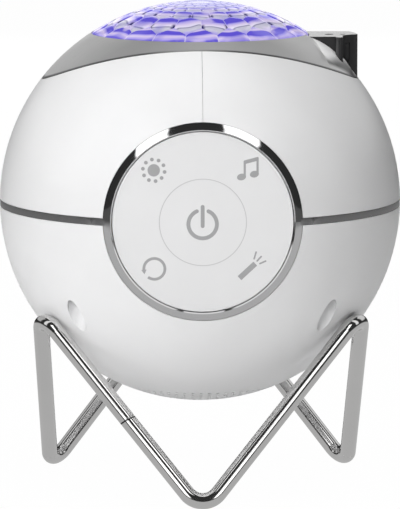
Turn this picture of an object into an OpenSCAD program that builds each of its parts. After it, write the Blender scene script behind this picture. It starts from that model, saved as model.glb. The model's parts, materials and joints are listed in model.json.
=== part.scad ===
// Star night light projector: a ball-shaped projector that lies loose in a crown of bent steel rod.
// Millimetres, +Z up. The origin is on the floor under the centre of the ball. The control panel
// faces -Y, and the laser head stands on the +X side of the lens.

/* [Ball] */
// Outside diameter of the ball
ball_d = 150; // [146:1:160]
// Wall thickness of the three plastic shells
shell_wall = 2.5; // [2:0.1:3]
// Gap between the two upper shells at their seam
seam_gap = 0.12; // [0.06:0.02:0.3]
// Gap round every outer piece that is set into the shells
part_gap = 0.15; // [0.1:0.05:0.25]
// Height of the chrome band round the equator
band_h = 2.5; // [2:0.1:4]

/* [Rod cradle] */
// Diameter of the bent steel rod
rod_d = 6; // [5:0.25:8]
// Distance of the three foot corners from the middle, before bending
foot_plan_r = 65.8; // [60:0.1:72]
// Distance of the three upper corners from the middle, before bending
peak_plan_r = 68.7; // [66:0.1:70]
// Height of an upper corner above a foot corner, before bending
crown_h = 70.2; // [64:0.1:76]
// Radius of the rod's centreline in every bend
bend_r = 7.3; // [6.6:0.1:9]
// Gap between the rod and the ball
rest_gap = 0.3; // [0.2:0.05:0.6]
// Place of the closing joint on the front left leg, from foot to peak
joint_place = 0.457; // [0.3:0.01:0.6]
// Width and depth of the groove round the closing joint
joint_groove = 0.4; // [0.2:0.05:0.5]
// Diameter of the dowel inside the closing joint
dowel_d = 3; // [2:0.25:3.5]
// Length of the dowel
dowel_l = 14; // [8:1:20]

/* [Control panel] */
// Outside diameter of the chrome ring
ring_d = 72.2; // [68:0.2:76]
// Width of the chrome ring
ring_w = 3; // [2:0.1:4]
// Radius of the crowned face of the chrome ring
ring_crown_r = 10; // [8:0.5:20]
// Slope of the chrome ring's face, in degrees
ring_slope = 26; // [20:1:32]
// Width of the bevel on the ring's inner edge
ring_bevel = 0.45; // [0.3:0.05:0.6]
// Reach of the stub on each side of the ring
stub_l = 4; // [2:0.5:6]
// Height of the panel's dome over its edge
panel_dome = 1.2; // [0.8:0.1:2]
// Gap between the chrome ring and the function plate
plate_gap = 0.35; // [0.3:0.05:0.6]
// Thickness of the function plate and the button's cap
plate_t = 2.4; // [2:0.1:3]
// Diameter of the power button
button_d = 31.2; // [26:0.2:34]
// Gap between the power button and the function plate
button_gap = 0.3; // [0.3:0.05:0.5]
// Diameter of the power button's guide stem
stem_d = 7; // [5:0.5:9]
// Running clearance of the stem in its guide
stem_fit = 0.08; // [0.04:0.01:0.1]
// Travel of the power button
button_travel = 0.6; // [0.4:0.1:1]
// Distance of the four key posts from the panel's centre
key_r = 25; // [22:0.5:27]

/* [Lens and bezel] */
// Diameter of the faceted lens at its rim
lens_d = 81; // [76:0.5:84]
// Number of facets round the lens
lens_facets = 20; // [16:2:24]
// Depth of the grooves between the facets
facet_depth = 0.55; // [0.3:0.05:0.9]
// Reach of the facets' tips at the first groove, inwards and outwards
tip_reach = 2.15; // [1.6:0.05:2.4]
// Wall thickness of the lens
lens_wall = 3; // [2.5:0.25:4]
// Half length of the bezel from side to side
bezel_a = 58.9; // [56:0.1:60]
// Half width of the bezel from front to back
bezel_b = 44.6; // [43.6:0.1:46]
// Thickness of the bezel
bezel_t = 1.8; // [1.4:0.1:1.9]
// Gap between the bezel and the upper shells
bezel_gap = 0.35; // [0.2:0.05:0.5]
// Height of the bezel's swell in front of and behind the laser head
swell_h = 1.4; // [1:0.1:1.8]
// Half width of the swell
swell_w = 11.3; // [10:0.1:12]

/* [Laser head] */
// Height of the laser head's flat top below the lens rim
head_drop = 0.8; // [0.2:0.1:1.5]
// Half width of the laser head from front to back
head_half_w = 13.5; // [12:0.25:15]
// Depth of the head's front wall behind its rounded corner
head_step = 3; // [2:0.1:3.4]
// Radius of the head's rounded corner
head_corner_r = 1.3; // [1:0.1:1.5]
// Radius of the scoop beside the rounded corner
head_scoop_r = 7.2; // [6.2:0.1:8]
// Distance of the rounded corner from the bezel's end
head_corner_inset = 6; // [5.4:0.1:6.4]
// Wall thickness of the laser head
head_wall = 1.8; // [1.4:0.1:2.2]
// Diameter of the laser's aperture
aperture_d = 3.4; // [3:0.1:4]
// Distance of the laser's axis from the middle of the ball
laser_x = 48.2; // [47.5:0.1:48.6]
// Diameter of the laser module
laser_d = 6; // [5.5:0.1:6.4]
// Diameter of the receiver's window
ir_d = 2.2; // [1.8:0.1:2.6]
// Distance of the receiver's window from the middle of the ball
ir_x = 53.3; // [53:0.1:53.8]

/* [Light engine] */
// Number of teeth on the effect wheel
wheel_teeth = 72; // [66:2:74]
// Number of teeth on the motor's pinion
pinion_teeth = 12; // [12:1:14]
// Tooth module of both gears
tooth_m = 0.8; // [0.7:0.05:0.8]
// Backlash between the two gears
backlash = 0.2; // [0.15:0.05:0.3]
// Running clearance of the wheel's collar on the light chamber
collar_fit = 0.08; // [0.04:0.01:0.1]
// Outside diameter of the light chamber
chamber_d = 44; // [40:1:46]
// Diameter of the lamp's circuit board
lamp_board_d = 50; // [46:1:52]
// Height of the heat sink
sink_h = 12; // [8:1:14]
// Diameter of the motor
motor_d = 15; // [12:0.5:17]

/* [Chassis and boards] */
// Gap between the chassis deck and the inside of the ball
deck_gap = 16.5; // [15:0.5:20]
// Length of the main board from side to side
board_w = 80; // [70:1:84]
// Width of the main board from front to back
board_d = 56; // [50:1:60]
// Thickness of the main board
board_t = 1.6; // [1:0.1:2]
// Distance of the board's screws from its edges
board_inset = 6; // [5:0.5:8]
// Height of the spacers between the deck and the main board
spacer_h = 10; // [9:0.5:12]
// Distance of the deck's front edge from the chrome ring's front
deck_setback = 24; // [20:1:30]

/* [Speaker and power] */
// Diameter of the speaker
speaker_d = 57; // [50:1:60]
// Radius of the outermost ring of sound holes
grille_r = 30; // [27:0.5:32]
// Distance from one ring of sound holes to the next
grille_step = 3.6; // [3.2:0.1:5]
// Distance from one sound hole to the next in a ring
grille_pitch = 3.1; // [2.8:0.1:4]
// Diameter of a sound hole
grille_hole_d = 1.4; // [1:0.1:1.8]
// Height of the inlet below the middle of the ball
inlet_drop = 20; // [17:0.5:23]
// Diameter of the inlet's plug opening
inlet_d = 5.7; // [5.5:0.1:6]
// Diameter of the inlet's centre pin
inlet_pin_d = 2; // [1.6:0.1:2.2]

/* [Fixings] */
// Distance of the shell screws from the outside of the ball
screw_inset = 10.2; // [10.2:0.1:12]
// Diameter of the wells that the shell screws sit in
well_d = 7; // [6:0.1:7.2]
// Diameter of the shell screws
screw_d = 3; // [2.5:0.1:3.5]
// Length of the shell screws
screw_l = 30; // [26:1:34]
// Height of the wells' floor below the middle of the ball
well_drop = 10; // [8:0.5:14]
// Diameter of the speaker's four screws
speaker_screw_d = 2; // [1.6:0.1:2.2]
// Clearance between a screw and the plastic it is driven into
screw_fit = 0.04; // [0.02:0.01:0.08]

/* [Hidden] */
$fn = 96;
ball_r = ball_d / 2;
rod_r = rod_d / 2;
ring_r = ring_d / 2;
ring_in = ring_r - ring_w;
lens_r = lens_d / 2;
inner_r = ball_r - shell_wall;
half_band = band_h / 2;
rim_z = half_band + part_gap;
big = 2 * ball_r + 20;
eps = 0.01;

// Depth of the panel parts, measured from the middle of the ball towards the front
ring_depth = on_ball(ring_r, ball_r);
panel_edge = ring_depth + 0.5;
plate_r = ring_in - plate_gap;
button_r = button_d / 2;
plate_back = panel_edge - plate_t;
rock_gap = 1;
carrier_top = plate_back - rock_gap;
carrier_t = 2;
switch_h = 3.5;
plunger_h = 0.8;
key_reach = 2.5;
board_top = carrier_top - carrier_t - key_reach - switch_h - plunger_h;
key_board_t = 1.6;
plunger_z = board_top + switch_h + plunger_h;
key_play = 0.55;

// Heights in the ball, measured from the middle of the ball
lens_z = on_ball(lens_r, ball_r);
land_r = ball_r - bezel_t - 0.15;
bezel_in = ball_r - bezel_t;
seat_z = lens_z - 3;
seat_t = 2;
gasket_t = 0.7;
head_z = lens_z - head_drop;
head_corner_x = bezel_a - head_corner_inset;
head_front = head_half_w - head_step;
wheel_t = 2.4;
wheel_z = seat_z - seat_t - 7;
chamber_top = wheel_z - 0.3;
wheel_pr = tooth_m * wheel_teeth / 2;
pinion_pr = tooth_m * pinion_teeth / 2;
gear_gap = wheel_pr + pinion_pr;
chamber_r = chamber_d / 2;
deck_r = inner_r - deck_gap;
board_x = board_w / 2 - board_inset;
board_y = board_d / 2 - board_inset;
sink_base = half_band;
lamp_z = sink_base + sink_h;
lamp_board_t = 1.6;
chamber_z = lamp_z + lamp_board_t;
bracket_t = 2;
motor_h = 16;
bracket_z = wheel_z - 3.4;
motor_z = bracket_z - bracket_t - 0.02;
shaft_r = 1;
well_floor = -well_drop;
screw_plan_r = ball_r - screw_inset;
post_r = well_d / 2 + 1.8;
screw_head_r = well_d / 2 - 0.4;
screw_head_h = 2.2;

// Speaker
speaker_r = speaker_d / 2;
box_in = speaker_r + 7.5;
box_out = box_in + 2;
box_top = -on_ball(box_out, ball_r) + 10.4;
baffle_t = 2;
speaker_z = box_top + baffle_t;
basket_h = 11;
magnet_r = 16;
magnet_h = 11;
lip_r = speaker_r - 4;
ledge_z = 0.9;
neck_r = 9;

// Inlet
inlet_body_r = inlet_d / 2 + 1.6;
inlet_face = on_ball(inlet_drop, ball_r) - 2.6;
inlet_depth = 9.5;
inlet_body_l = 13;

// The rod's path: six corners, foot and peak in turn
foot_vertex_z = rod_r + foot_drop();
peak_vertex_z = foot_vertex_z + crown_h;
ball_z = rest_height(peak_vertex_z, peak_vertex_z + ball_r, 40);

// Colours
c_shell = [0.93, 0.93, 0.93];
c_panel = [0.9, 0.9, 0.9];
c_chrome = [0.72, 0.73, 0.75];
c_steel = [0.66, 0.67, 0.68];
c_bezel = [0.7, 0.7, 0.7];
c_lens = [0.5, 0.46, 0.92];
c_black = [0.07, 0.07, 0.07];
c_board = [0.1, 0.35, 0.2];
c_brass = [0.8, 0.65, 0.3];
c_rubber = [0.2, 0.2, 0.22];
c_white = [0.96, 0.96, 0.94];

// ---- Functions ----------------------------------------------------------------------------

// Distance along an axis at which a ball of radius rad is r wide
function on_ball(r, rad) = sqrt(rad * rad - r * r);

// Depth of the domed panel's face at the distance x from the panel's middle
function panel_height(x) = panel_edge + panel_dome * (1 - (x / plate_r) * (x / plate_r));

// Point at azimuth az from the front, at distance r from the middle
function az_pos(az, r, z) = [r * sin(az), -r * cos(az), z];

function unit(v) = v / norm(v);

// The two bent corner directions of the rod, from a foot to its two peaks
function foot_leg(side) =
    unit(az_pos(60 * side, peak_plan_r, crown_h) - az_pos(0, foot_plan_r, 0));

// Half of the angle between the two legs at a corner, from the two unit directions
function half_angle(a, b) = acos(a * b) / 2;

// Distance from a corner to the middle of its bend
function corner_cut(a, b) = bend_r / sin(half_angle(a, b)) - bend_r;

// Height of the foot corner above the middle of the lowest rod section, always negative or zero
function foot_drop() =
    let (a = foot_leg(1), b = foot_leg(-1), mid = unit(a + b)) -corner_cut(a, b) * mid[2];

// Corner i of the path: even corners are feet, odd corners are peaks
function corner(i) = i % 2 == 0
    ? az_pos(60 * i, foot_plan_r, foot_vertex_z)
    : az_pos(60 * i, peak_plan_r, peak_vertex_z);

function next_dir(i) = unit(corner(i + 1) - corner(i));
function prev_dir(i) = unit(corner(i - 1) - corner(i));

// Length taken off each leg by the bend at corner i
function trim_len(i) = bend_r / tan(half_angle(next_dir(i), prev_dir(i)));

// Middle point of the bend circle at corner i
function bend_centre(i) =
    let (a = next_dir(i), b = prev_dir(i))
    corner(i) + unit(a + b) * bend_r / sin(half_angle(a, b));

// Point of the bend at corner i, at angle t from its middle
function bend_point(i, t) =
    let (a = next_dir(i), b = prev_dir(i), m = unit(a + b), s = unit(a - b))
    bend_centre(i) + bend_r * (s * sin(t) - m * cos(t));

// Sample points of a peak bend and its legs, on which the ball can lie
function rest_points() = concat(
    [for (t = [0:1:60]) bend_point(1, t)],
    [for (l = [0:0.5:30]) corner(1) + next_dir(1) * (trim_len(1) + l)]);

function nearest(h, pts) = min([for (p = pts) norm(p - [0, 0, h])]);

// Height at which the ball clears the rod by rest_gap, found by halving
function rest_height(low, high, n) =
    n == 0 ? (low + high) / 2
    : let (mid = (low + high) / 2)
      nearest(mid, rest_points()) > ball_r + rod_r + rest_gap
          ? rest_height(low, mid, n - 1)
          : rest_height(mid, high, n - 1);

// Involute function of an angle in degrees, in degrees
function inv(a) = tan(a) * 180 / PI - a;

// Half tooth angle of a gear with z teeth at radius r
function tooth_half(z, m, r) =
    let (rp = m * z / 2, rb = rp * cos(20))
    90 / z + inv(20) - (r > rb ? inv(acos(rb / r)) : 0) - backlash / (4 * rp) * 180 / PI;

// Outline of a spur gear, with one tooth centred on the angle start
function gear_outline(z, m, start) =
    let (
        rp = m * z / 2,
        levels = [rp - 1.25 * m, rp - 0.5 * m, rp, rp + 0.86 * m],
        n = len(levels) - 1
    )
    [for (i = [0:z - 1]) for (k = [0:2 * n + 1])
        let (
            j = k <= n ? k : 2 * n + 1 - k,
            s = k <= n ? -1 : 1,
            a = start + i * 360 / z + s * tooth_half(z, m, levels[j])
        )
        levels[j] * [cos(a), sin(a)]];

// ---- Shared shapes ------------------------------------------------------------------------

module at_ball() {
    translate([0, 0, ball_z]) children();
}

// Turns a shape built upwards so that it points to the front
module to_front() {
    rotate([90, 0, 0]) children();
}

// Turns a shape built upwards so that it points to the back
module to_back() {
    rotate([-90, 0, 0]) children();
}

// Puts a shape at azimuth az and distance r from the middle
module spread(az, r, z) {
    translate(az_pos(az, r, z)) children();
}

module tube(ro, ri, h) {
    difference() {
        cylinder(r = ro, h = h);
        translate([0, 0, -1]) cylinder(r = ri, h = h + 2);
    }
}

// Everything above the height z, as wide as the ball
module above(z) {
    translate([-big / 2, -big / 2, z]) cube([big, big, big]);
}

module below(z) {
    translate([-big / 2, -big / 2, z - big]) cube([big, big, big]);
}

// Oval with the half axes a and b
module oval(a, b) {
    scale([a / b, 1]) circle(r = b);
}

// Screw that points up, with its head below the origin and a cross in the head
module screw(d, length, head_r, head_h) {
    difference() {
        union() {
            translate([0, 0, -head_h]) cylinder(r = head_r, h = head_h);
            translate([0, 0, -eps]) cylinder(r = d / 2, h = length);
        }
        for (a = [0, 90]) rotate([0, 0, a])
            translate([-head_r * 0.6, -head_r * 0.12, -head_h - 1])
                cube([head_r * 1.2, head_r * 0.24, 1 + head_h * 0.6]);
    }
}

// Outline of the laser head, grown outwards by the gap g, with its outer end on the oval
module head_outline(g) {
    front = -head_front - g;
    corner_y = head_corner_r - head_half_w;
    scoop = [head_corner_x + head_scoop_r, head_scoop_r - head_half_w - 1];
    difference() {
        union() {
            difference() {
                intersection() {
                    oval(bezel_a + 3 * g, bezel_b + 3 * g);
                    translate([lens_r - 10, front])
                        square([bezel_a, head_half_w + g - front]);
                }
                translate(scoop) circle(r = head_scoop_r - g);
                translate([head_corner_x + g, -big]) square([big, big + scoop[1]]);
            }
            translate([head_corner_x - head_corner_r, corner_y]) circle(r = head_corner_r + g);
            translate([head_corner_x - 2 * head_corner_r - g, corner_y])
                square([2 * (head_corner_r + g), head_step]);
        }
        circle(r = lens_r + 0.35 - 2 * g);
    }
}

// ---- Cradle -------------------------------------------------------------------------------

// Straight leg between corner i and the next one
module leg(i, radius, from, to) {
    d = next_dir(i);
    translate(corner(i) + d * from)
        rotate([0, acos(d[2]), atan2(d[1], d[0])]) cylinder(r = radius, h = to - from);
}

// Bend of the rod round corner i, between the ends of its two legs
module bend(i) {
    a = next_dir(i);
    b = prev_dir(i);
    m = -unit(a + b);
    s = unit(a - b);
    n = cross(s, m);
    open = 90 - half_angle(a, b);
    multmatrix([
        [s[0], m[0], n[0], bend_centre(i)[0]],
        [s[1], m[1], n[1], bend_centre(i)[1]],
        [s[2], m[2], n[2], bend_centre(i)[2]],
        [0, 0, 0, 1]])
        rotate([0, 0, 90 - open]) rotate_extrude(angle = 2 * open)
            translate([bend_r, 0]) circle(r = rod_r);
}

// The legs are a hair thinner than the bends, and their ends sit just inside them
module stand_rod() {
    step = 0.01;
    leg_l = norm(corner(1) - corner(0));
    joint_at = leg_l * (1 - joint_place);
    color(c_steel) difference() {
        union() {
            for (i = [0:5]) {
                leg(i, rod_r - step, trim_len(i) - 5 * step, leg_l - trim_len(i + 1) + 5 * step);
                bend(i);
            }
        }
        leg(5, dowel_d / 2 + screw_fit, joint_at - dowel_l / 2 - 0.2, joint_at + dowel_l / 2 + 0.2);
        difference() {
            leg(5, rod_r + 1, joint_at - joint_groove / 2, joint_at + joint_groove / 2);
            leg(5, rod_r - joint_groove, joint_at - 1, joint_at + 1);
        }
    }
}

module joint_dowel() {
    joint_at = norm(corner(1) - corner(0)) * (1 - joint_place);
    color(c_brass) leg(5, dowel_d / 2, joint_at - dowel_l / 2, joint_at + dowel_l / 2);
}

// ---- Shells -------------------------------------------------------------------------------

// Round hole in the front that takes the chrome ring
module front_hole() {
    to_front() cylinder(r = ring_r + part_gap, h = ball_r + 5);
}

module screw_places() {
    for (az = [45, 135, 225, 315]) spread(az, screw_plan_r, 0) children();
}

// Number of sound holes in a ring of radius r
function hole_count(r) = max(1, round(2 * PI * r / grille_pitch));

// Sound holes drilled towards the middle of the ball, with one of each ring at the very front
module sound_holes() {
    for (r = [grille_r:-grille_step:0]) for (i = [0:hole_count(r) - 1])
        rotate([0, 0, 360 * i / hole_count(r)]) rotate([180 - asin(r / ball_r), 0, 0])
            translate([0, 0, inner_r - 2]) cylinder(r = grille_hole_d / 2, h = shell_wall + 4);
}

module lower_shell() {
    color(c_shell) at_ball() difference() {
        union() {
            difference() {
                sphere(r = ball_r);
                sphere(r = inner_r);
                above(-rim_z);
            }
            intersection() {
                sphere(r = inner_r + 0.6);
                below(-rim_z);
                union() {
                    screw_places() translate([0, 0, -ball_r]) cylinder(r = post_r, h = ball_r);
                    difference() {
                        translate([0, 0, -ball_r]) cylinder(r = box_out, h = ball_r + box_top);
                        translate([0, 0, -ball_r]) cylinder(r = box_in, h = ball_r);
                    }
                    translate([0, 0, -inlet_drop]) to_back() translate([0, 0, inlet_face - 4])
                        cylinder(r = inlet_body_r + 4, h = 10);
                }
            }
        }
        front_hole();
        screw_places() {
            translate([0, 0, -ball_r]) cylinder(r = well_d / 2, h = ball_r + well_floor);
            translate([0, 0, -ball_r]) cylinder(r = screw_d / 2 + 0.2, h = ball_r + 1);
        }
        sound_holes();
        translate([0, 0, -inlet_drop]) to_back() {
            translate([0, 0, inlet_face - 12]) cylinder(r = inlet_body_r + 0.1, h = 40);
            translate([0, 0, inlet_face]) cylinder(r = inlet_body_r + 2.5, h = 20);
        }
    }
}

// Half of the upper cover: side is 1 for the right half and -1 for the left half
module upper_shell(side) {
    at_ball() difference() {
        union() {
            difference() {
                sphere(r = ball_r);
                sphere(r = inner_r);
                below(rim_z);
                linear_extrude(height = big) oval(bezel_a + bezel_gap, bezel_b + bezel_gap);
            }
            intersection() {
                difference() {
                    sphere(r = land_r);
                    sphere(r = inner_r - 2);
                }
                linear_extrude(height = big) difference() {
                    oval(bezel_a + 3, bezel_b + 3);
                    oval(bezel_a - 2.5, bezel_b - 2.5);
                }
            }
            intersection() {
                sphere(r = inner_r + 0.6);
                translate([0, 0, rim_z]) screw_places() cylinder(r = post_r - 1, h = ball_r);
            }
        }
        front_hole();
        screw_places() cylinder(r = screw_d / 2 + screw_fit, h = screw_l - well_drop + 2);
        translate([side > 0 ? seam_gap / 2 - big : -seam_gap / 2, -big / 2, -1])
            cube([big, big, big]);
        translate([0, 0, seat_z - seat_t - 1]) cylinder(r = lens_r + 2.6, h = 20);
    }
}

module upper_shell_left() {
    color(c_shell) upper_shell(-1);
}

module upper_shell_right() {
    color(c_shell) upper_shell(1);
}

module equator_trim() {
    color(c_chrome) at_ball() difference() {
        union() {
            intersection() {
                sphere(r = ball_r);
                translate([0, 0, -half_band]) cylinder(r = big, h = band_h);
            }
            translate([0, 0, -half_band - 2.5]) cylinder(r = inner_r - 0.3, h = band_h + 5);
        }
        translate([0, 0, -20]) cylinder(r = inner_r - 1.5, h = 40);
        translate([-ring_r - stub_l - 0.1, -big, -20])
            cube([2 * (ring_r + stub_l + 0.1), big, 40]);
    }
}

module shell_screws() {
    color(c_steel) at_ball() screw_places()
        translate([0, 0, well_floor - eps]) screw(screw_d, screw_l, screw_head_r, screw_head_h);
}

// ---- Control panel ------------------------------------------------------------------------

// Section of the chrome ring: a crowned face that slopes outwards, with a bevel inside
module ring_section() {
    edge = [ring_r, ring_depth - 0.1];
    crest = [ring_in + ring_bevel, edge[1] + (ring_w - ring_bevel) * tan(ring_slope)];
    half = norm(crest - edge) / 2;
    out = [sin(ring_slope), cos(ring_slope)];
    intersection() {
        translate((crest + edge) / 2 - out * sqrt(ring_crown_r * ring_crown_r - half * half))
            circle(r = ring_crown_r);
        polygon([[ring_in, ring_depth - 7], [ring_r, ring_depth - 7], [ring_r, big], [crest[0], big],
                 crest, [ring_in, crest[1] - ring_bevel]]);
    }
}

module panel_ring() {
    color(c_chrome) at_ball() union() {
        to_front() rotate_extrude() ring_section();
        for (s = [-1, 1]) intersection() {
            difference() {
                sphere(r = ball_r);
                sphere(r = inner_r);
            }
            translate([s * (ring_r + stub_l / 2 - 0.4), -big / 2, 0])
                cube([stub_l + 0.8, big, band_h], center = true);
        }
    }
}

// Domed disc: the front of the panel out to the radius r
module panel_front(r) {
    n = 14;
    rotate_extrude() polygon(concat(
        [[0, plate_back], [r, plate_back]],
        [for (i = [0:n]) let (x = r * (1 - i / n)) [x, panel_height(x)]]));
}

module function_plate() {
    bore = button_r + button_gap;
    color(c_panel) at_ball() to_front() difference() {
        union() {
            panel_front(plate_r);
            for (a = [45:90:315]) rotate([0, 0, a])
                translate([key_r, 0, plunger_z + key_play])
                    cylinder(r = 2.2, h = plate_back - plunger_z - key_play + 0.5);
        }
        translate([0, 0, plate_back - 1]) cylinder(r = bore, h = 20);
    }
}

module power_button() {
    color(c_panel) at_ball() to_front() union() {
        panel_front(button_r);
        translate([0, 0, plunger_z + button_travel + 0.03])
            cylinder(r = stem_d / 2, h = plate_back - plunger_z - button_travel + 0.5);
    }
}

// Moulded disc behind the panel that guides the button and holds the ring and the key board
module panel_carrier() {
    guide_l = 1.6;
    color(c_white) at_ball() to_front() difference() {
        union() {
            translate([0, 0, carrier_top - carrier_t]) cylinder(r = ring_in - 0.2, h = carrier_t);
            translate([0, 0, carrier_top - carrier_t - guide_l])
                cylinder(r = stem_d / 2 + 2, h = guide_l + 1);
            translate([0, 0, board_top]) tube(ring_in - 0.2, ring_in - 2.2,
                                              carrier_top - carrier_t - board_top + 1);
        }
        translate([0, 0, 0]) cylinder(r = stem_d / 2 + stem_fit, h = ball_r);
        for (a = [45:90:315]) rotate([0, 0, a]) translate([key_r, 0, 0])
            cylinder(r = 2.7, h = ball_r);
        for (a = [0:90:270]) rotate([0, 0, a]) translate([ring_in - 1.6, 0, board_top - 1])
            cylinder(r = 0.8 + screw_fit, h = 6);
    }
}

module carrier_screws() {
    color(c_steel) at_ball() to_front() for (a = [0:90:270]) rotate([0, 0, a])
        translate([ring_in - 1.6, 0, board_top - key_board_t - eps]) screw(1.6, 6, 1.5, 1.2);
}

module key_board() {
    color(c_board) at_ball() to_front() difference() {
        translate([0, 0, board_top - key_board_t]) cylinder(r = ring_in - 0.2, h = key_board_t - eps);
        for (a = [0:90:270]) rotate([0, 0, a]) translate([ring_in - 1.6, 0, 0])
            cylinder(r = 0.8 + screw_fit, h = ball_r);
    }
}

// Push switch with a round plunger
module push_switch() {
    translate([-3, -3, 0]) cube([6, 6, switch_h]);
    translate([0, 0, switch_h - 0.5]) cylinder(r = 1.7, h = plunger_h + 0.5);
}

module key_switches() {
    color(c_black) at_ball() to_front() translate([0, 0, board_top]) {
        push_switch();
        for (a = [45:90:315]) rotate([0, 0, a]) translate([key_r, 0, 0]) push_switch();
    }
}

// ---- Bezel and lens -----------------------------------------------------------------------

// Soft swell of the bezel against a wall of the laser head at the distance y from the middle
module swell(y) {
    up = unit([head_corner_x - 3.6, y, lens_z - 7.1]);
    top = ball_r + swell_h;
    mid = (top * top - ball_r * ball_r) / (2 * (top - on_ball(swell_w, ball_r)));
    translate(up * mid) sphere(r = top - mid);
}

module top_bezel() {
    color(c_bezel) at_ball() difference() {
        union() {
            difference() {
                intersection() {
                    union() {
                        sphere(r = ball_r);
                        intersection() {
                            union() {
                                swell(2.3 - head_front);
                                swell(head_half_w - 2.3);
                            }
                            below(head_z);
                        }
                    }
                    linear_extrude(height = big) oval(bezel_a, bezel_b);
                }
                sphere(r = bezel_in);
            }
            intersection() {
                translate([0, 0, seat_z - seat_t]) cylinder(r = lens_r + 2.2, h = seat_t + 1);
                sphere(r = ball_r - 0.4);
            }
        }
        translate([0, 0, seat_z]) cylinder(r = lens_r + 0.12, h = 30);
        cylinder(r = lens_r - 4, h = big);
        difference() {
            translate([0, 0, 20]) linear_extrude(height = big) head_outline(part_gap);
            cylinder(r = lens_r + 2.2, h = seat_z);
        }
    }
}

// Plan radius of facet ring boundary k of the lens
lens_levels = [1, 0.843, 0.617, 0.464, 0.352, 0.262, 0.195, 0.145];
function level_r(k) = lens_r * lens_levels[k];

// Point of the lens on a ball of radius rad, at plan radius r and angle a
function lens_pt(r, a, rad) = let (f = rad / ball_r)
    [r * f * cos(a), r * f * sin(a), on_ball(r, ball_r) * f];

// Vertices of boundary k: they alternate between an outer and an inner place
function boundary(k) =
    let (n = 2 * lens_facets, zig = k == 0 ? 0 : tip_reach * pow(0.6, k - 1))
    [for (j = [0:n - 1])
        let (r = level_r(k) + ((j + k) % 2 == 0 ? zig : -zig))
        lens_pt(r, -90 + 180 * j / lens_facets, k == 0 ? ball_r : ball_r - facet_depth)];

// Middle point and raised outline of the facets in row k
function facet_index(k, i) = 2 * i + (k % 2);
function facet_ring(k, i) =
    let (
        n = 2 * lens_facets,
        j = facet_index(k, i),
        lo = boundary(k),
        hi = boundary(k + 1),
        v = [lo[(j + n - 1) % n], lo[j % n], lo[(j + 1) % n],
             hi[(j + 1) % n], hi[j % n], hi[(j + n - 1) % n]],
        c = (v[0] + v[1] + v[2] + v[3] + v[4] + v[5]) / 6
    )
    [for (p = v) let (w = c + (p - c) * 0.62) unit(w) * (ball_r - 0.05)];

// Faceted dome: staggered rows of raised six-sided facets on a ball surface
module lens_dome() {
    rows = len(lens_levels) - 1;
    n = 2 * lens_facets;
    f = lens_facets;
    skirt = [for (j = [0:n - 1]) [lens_r * cos(-90 + 180 * j / f), lens_r * sin(-90 + 180 * j / f),
                                  seat_z + gasket_t + 0.05]];
    in_r = lens_r - lens_wall;
    inner = [for (q = [1, 0.75, 0.5, 0.25]) for (j = [0:n - 1])
        let (a = -90 + 180 * j / f, z = on_ball(in_r * q, ball_r - lens_wall))
        [in_r * q * cos(a), in_r * q * sin(a), q == 1 ? seat_z + gasket_t + 0.05 : z]];
    outer = [for (k = [0:rows]) each boundary(k)];
    facets = [for (k = [0:rows - 1]) for (i = [0:f - 1]) each facet_ring(k, i)];
    o_outer = 0;
    o_facet = len(outer);
    o_skirt = o_facet + len(facets);
    o_inner = o_skirt + n;
    top = o_inner + len(inner);
    pts = concat(outer, facets, skirt, inner,
        [[0, 0, ball_r - 0.1], [0, 0, ball_r - lens_wall]]);
    function vid(k, j) = o_outer + k * n + (j + n) % n;
    function fid(k, i, m) = o_facet + (k * f + i) * 6 + m;
    faces = concat(
        [for (k = [0:rows - 1]) for (i = [0:f - 1])
            let (j = facet_index(k, i),
                 v = [vid(k, j - 1), vid(k, j), vid(k, j + 1),
                      vid(k + 1, j + 1), vid(k + 1, j), vid(k + 1, j - 1)])
            each concat(
                [for (m = [0:5]) each [[v[m], fid(k, i, m), fid(k, i, (m + 1) % 6)],
                                       [v[m], fid(k, i, (m + 1) % 6), v[(m + 1) % 6]]]],
                [for (m = [1:4]) [fid(k, i, 0), fid(k, i, m + 1), fid(k, i, m)]])],
        [for (j = [0:n - 1]) [vid(rows, j), top, vid(rows, j + 1)]],
        [for (j = [0:n - 1]) each [[o_skirt + j, vid(0, j), vid(0, j + 1)],
                                   [o_skirt + j, vid(0, j + 1), o_skirt + (j + 1) % n]]],
        [for (j = [0:n - 1]) each [[o_inner + j, o_skirt + j, o_skirt + (j + 1) % n],
                                   [o_inner + j, o_skirt + (j + 1) % n, o_inner + (j + 1) % n]]],
        [for (q = [0:2]) for (j = [0:n - 1]) each
            [[o_inner + (q + 1) * n + j, o_inner + q * n + j, o_inner + q * n + (j + 1) % n],
             [o_inner + (q + 1) * n + j, o_inner + q * n + (j + 1) % n,
              o_inner + (q + 1) * n + (j + 1) % n]]],
        [for (j = [0:n - 1]) [top + 1, o_inner + 3 * n + j, o_inner + 3 * n + (j + 1) % n]]);
    polyhedron(points = pts, faces = faces, convexity = 6);
}

module dome_lens() {
    color(c_lens) at_ball() lens_dome();
}

module lens_gasket() {
    color(c_rubber) at_ball() translate([0, 0, seat_z]) tube(lens_r - 0.3, lens_r - 3.6, gasket_t);
}

// ---- Laser head ---------------------------------------------------------------------------

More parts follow.
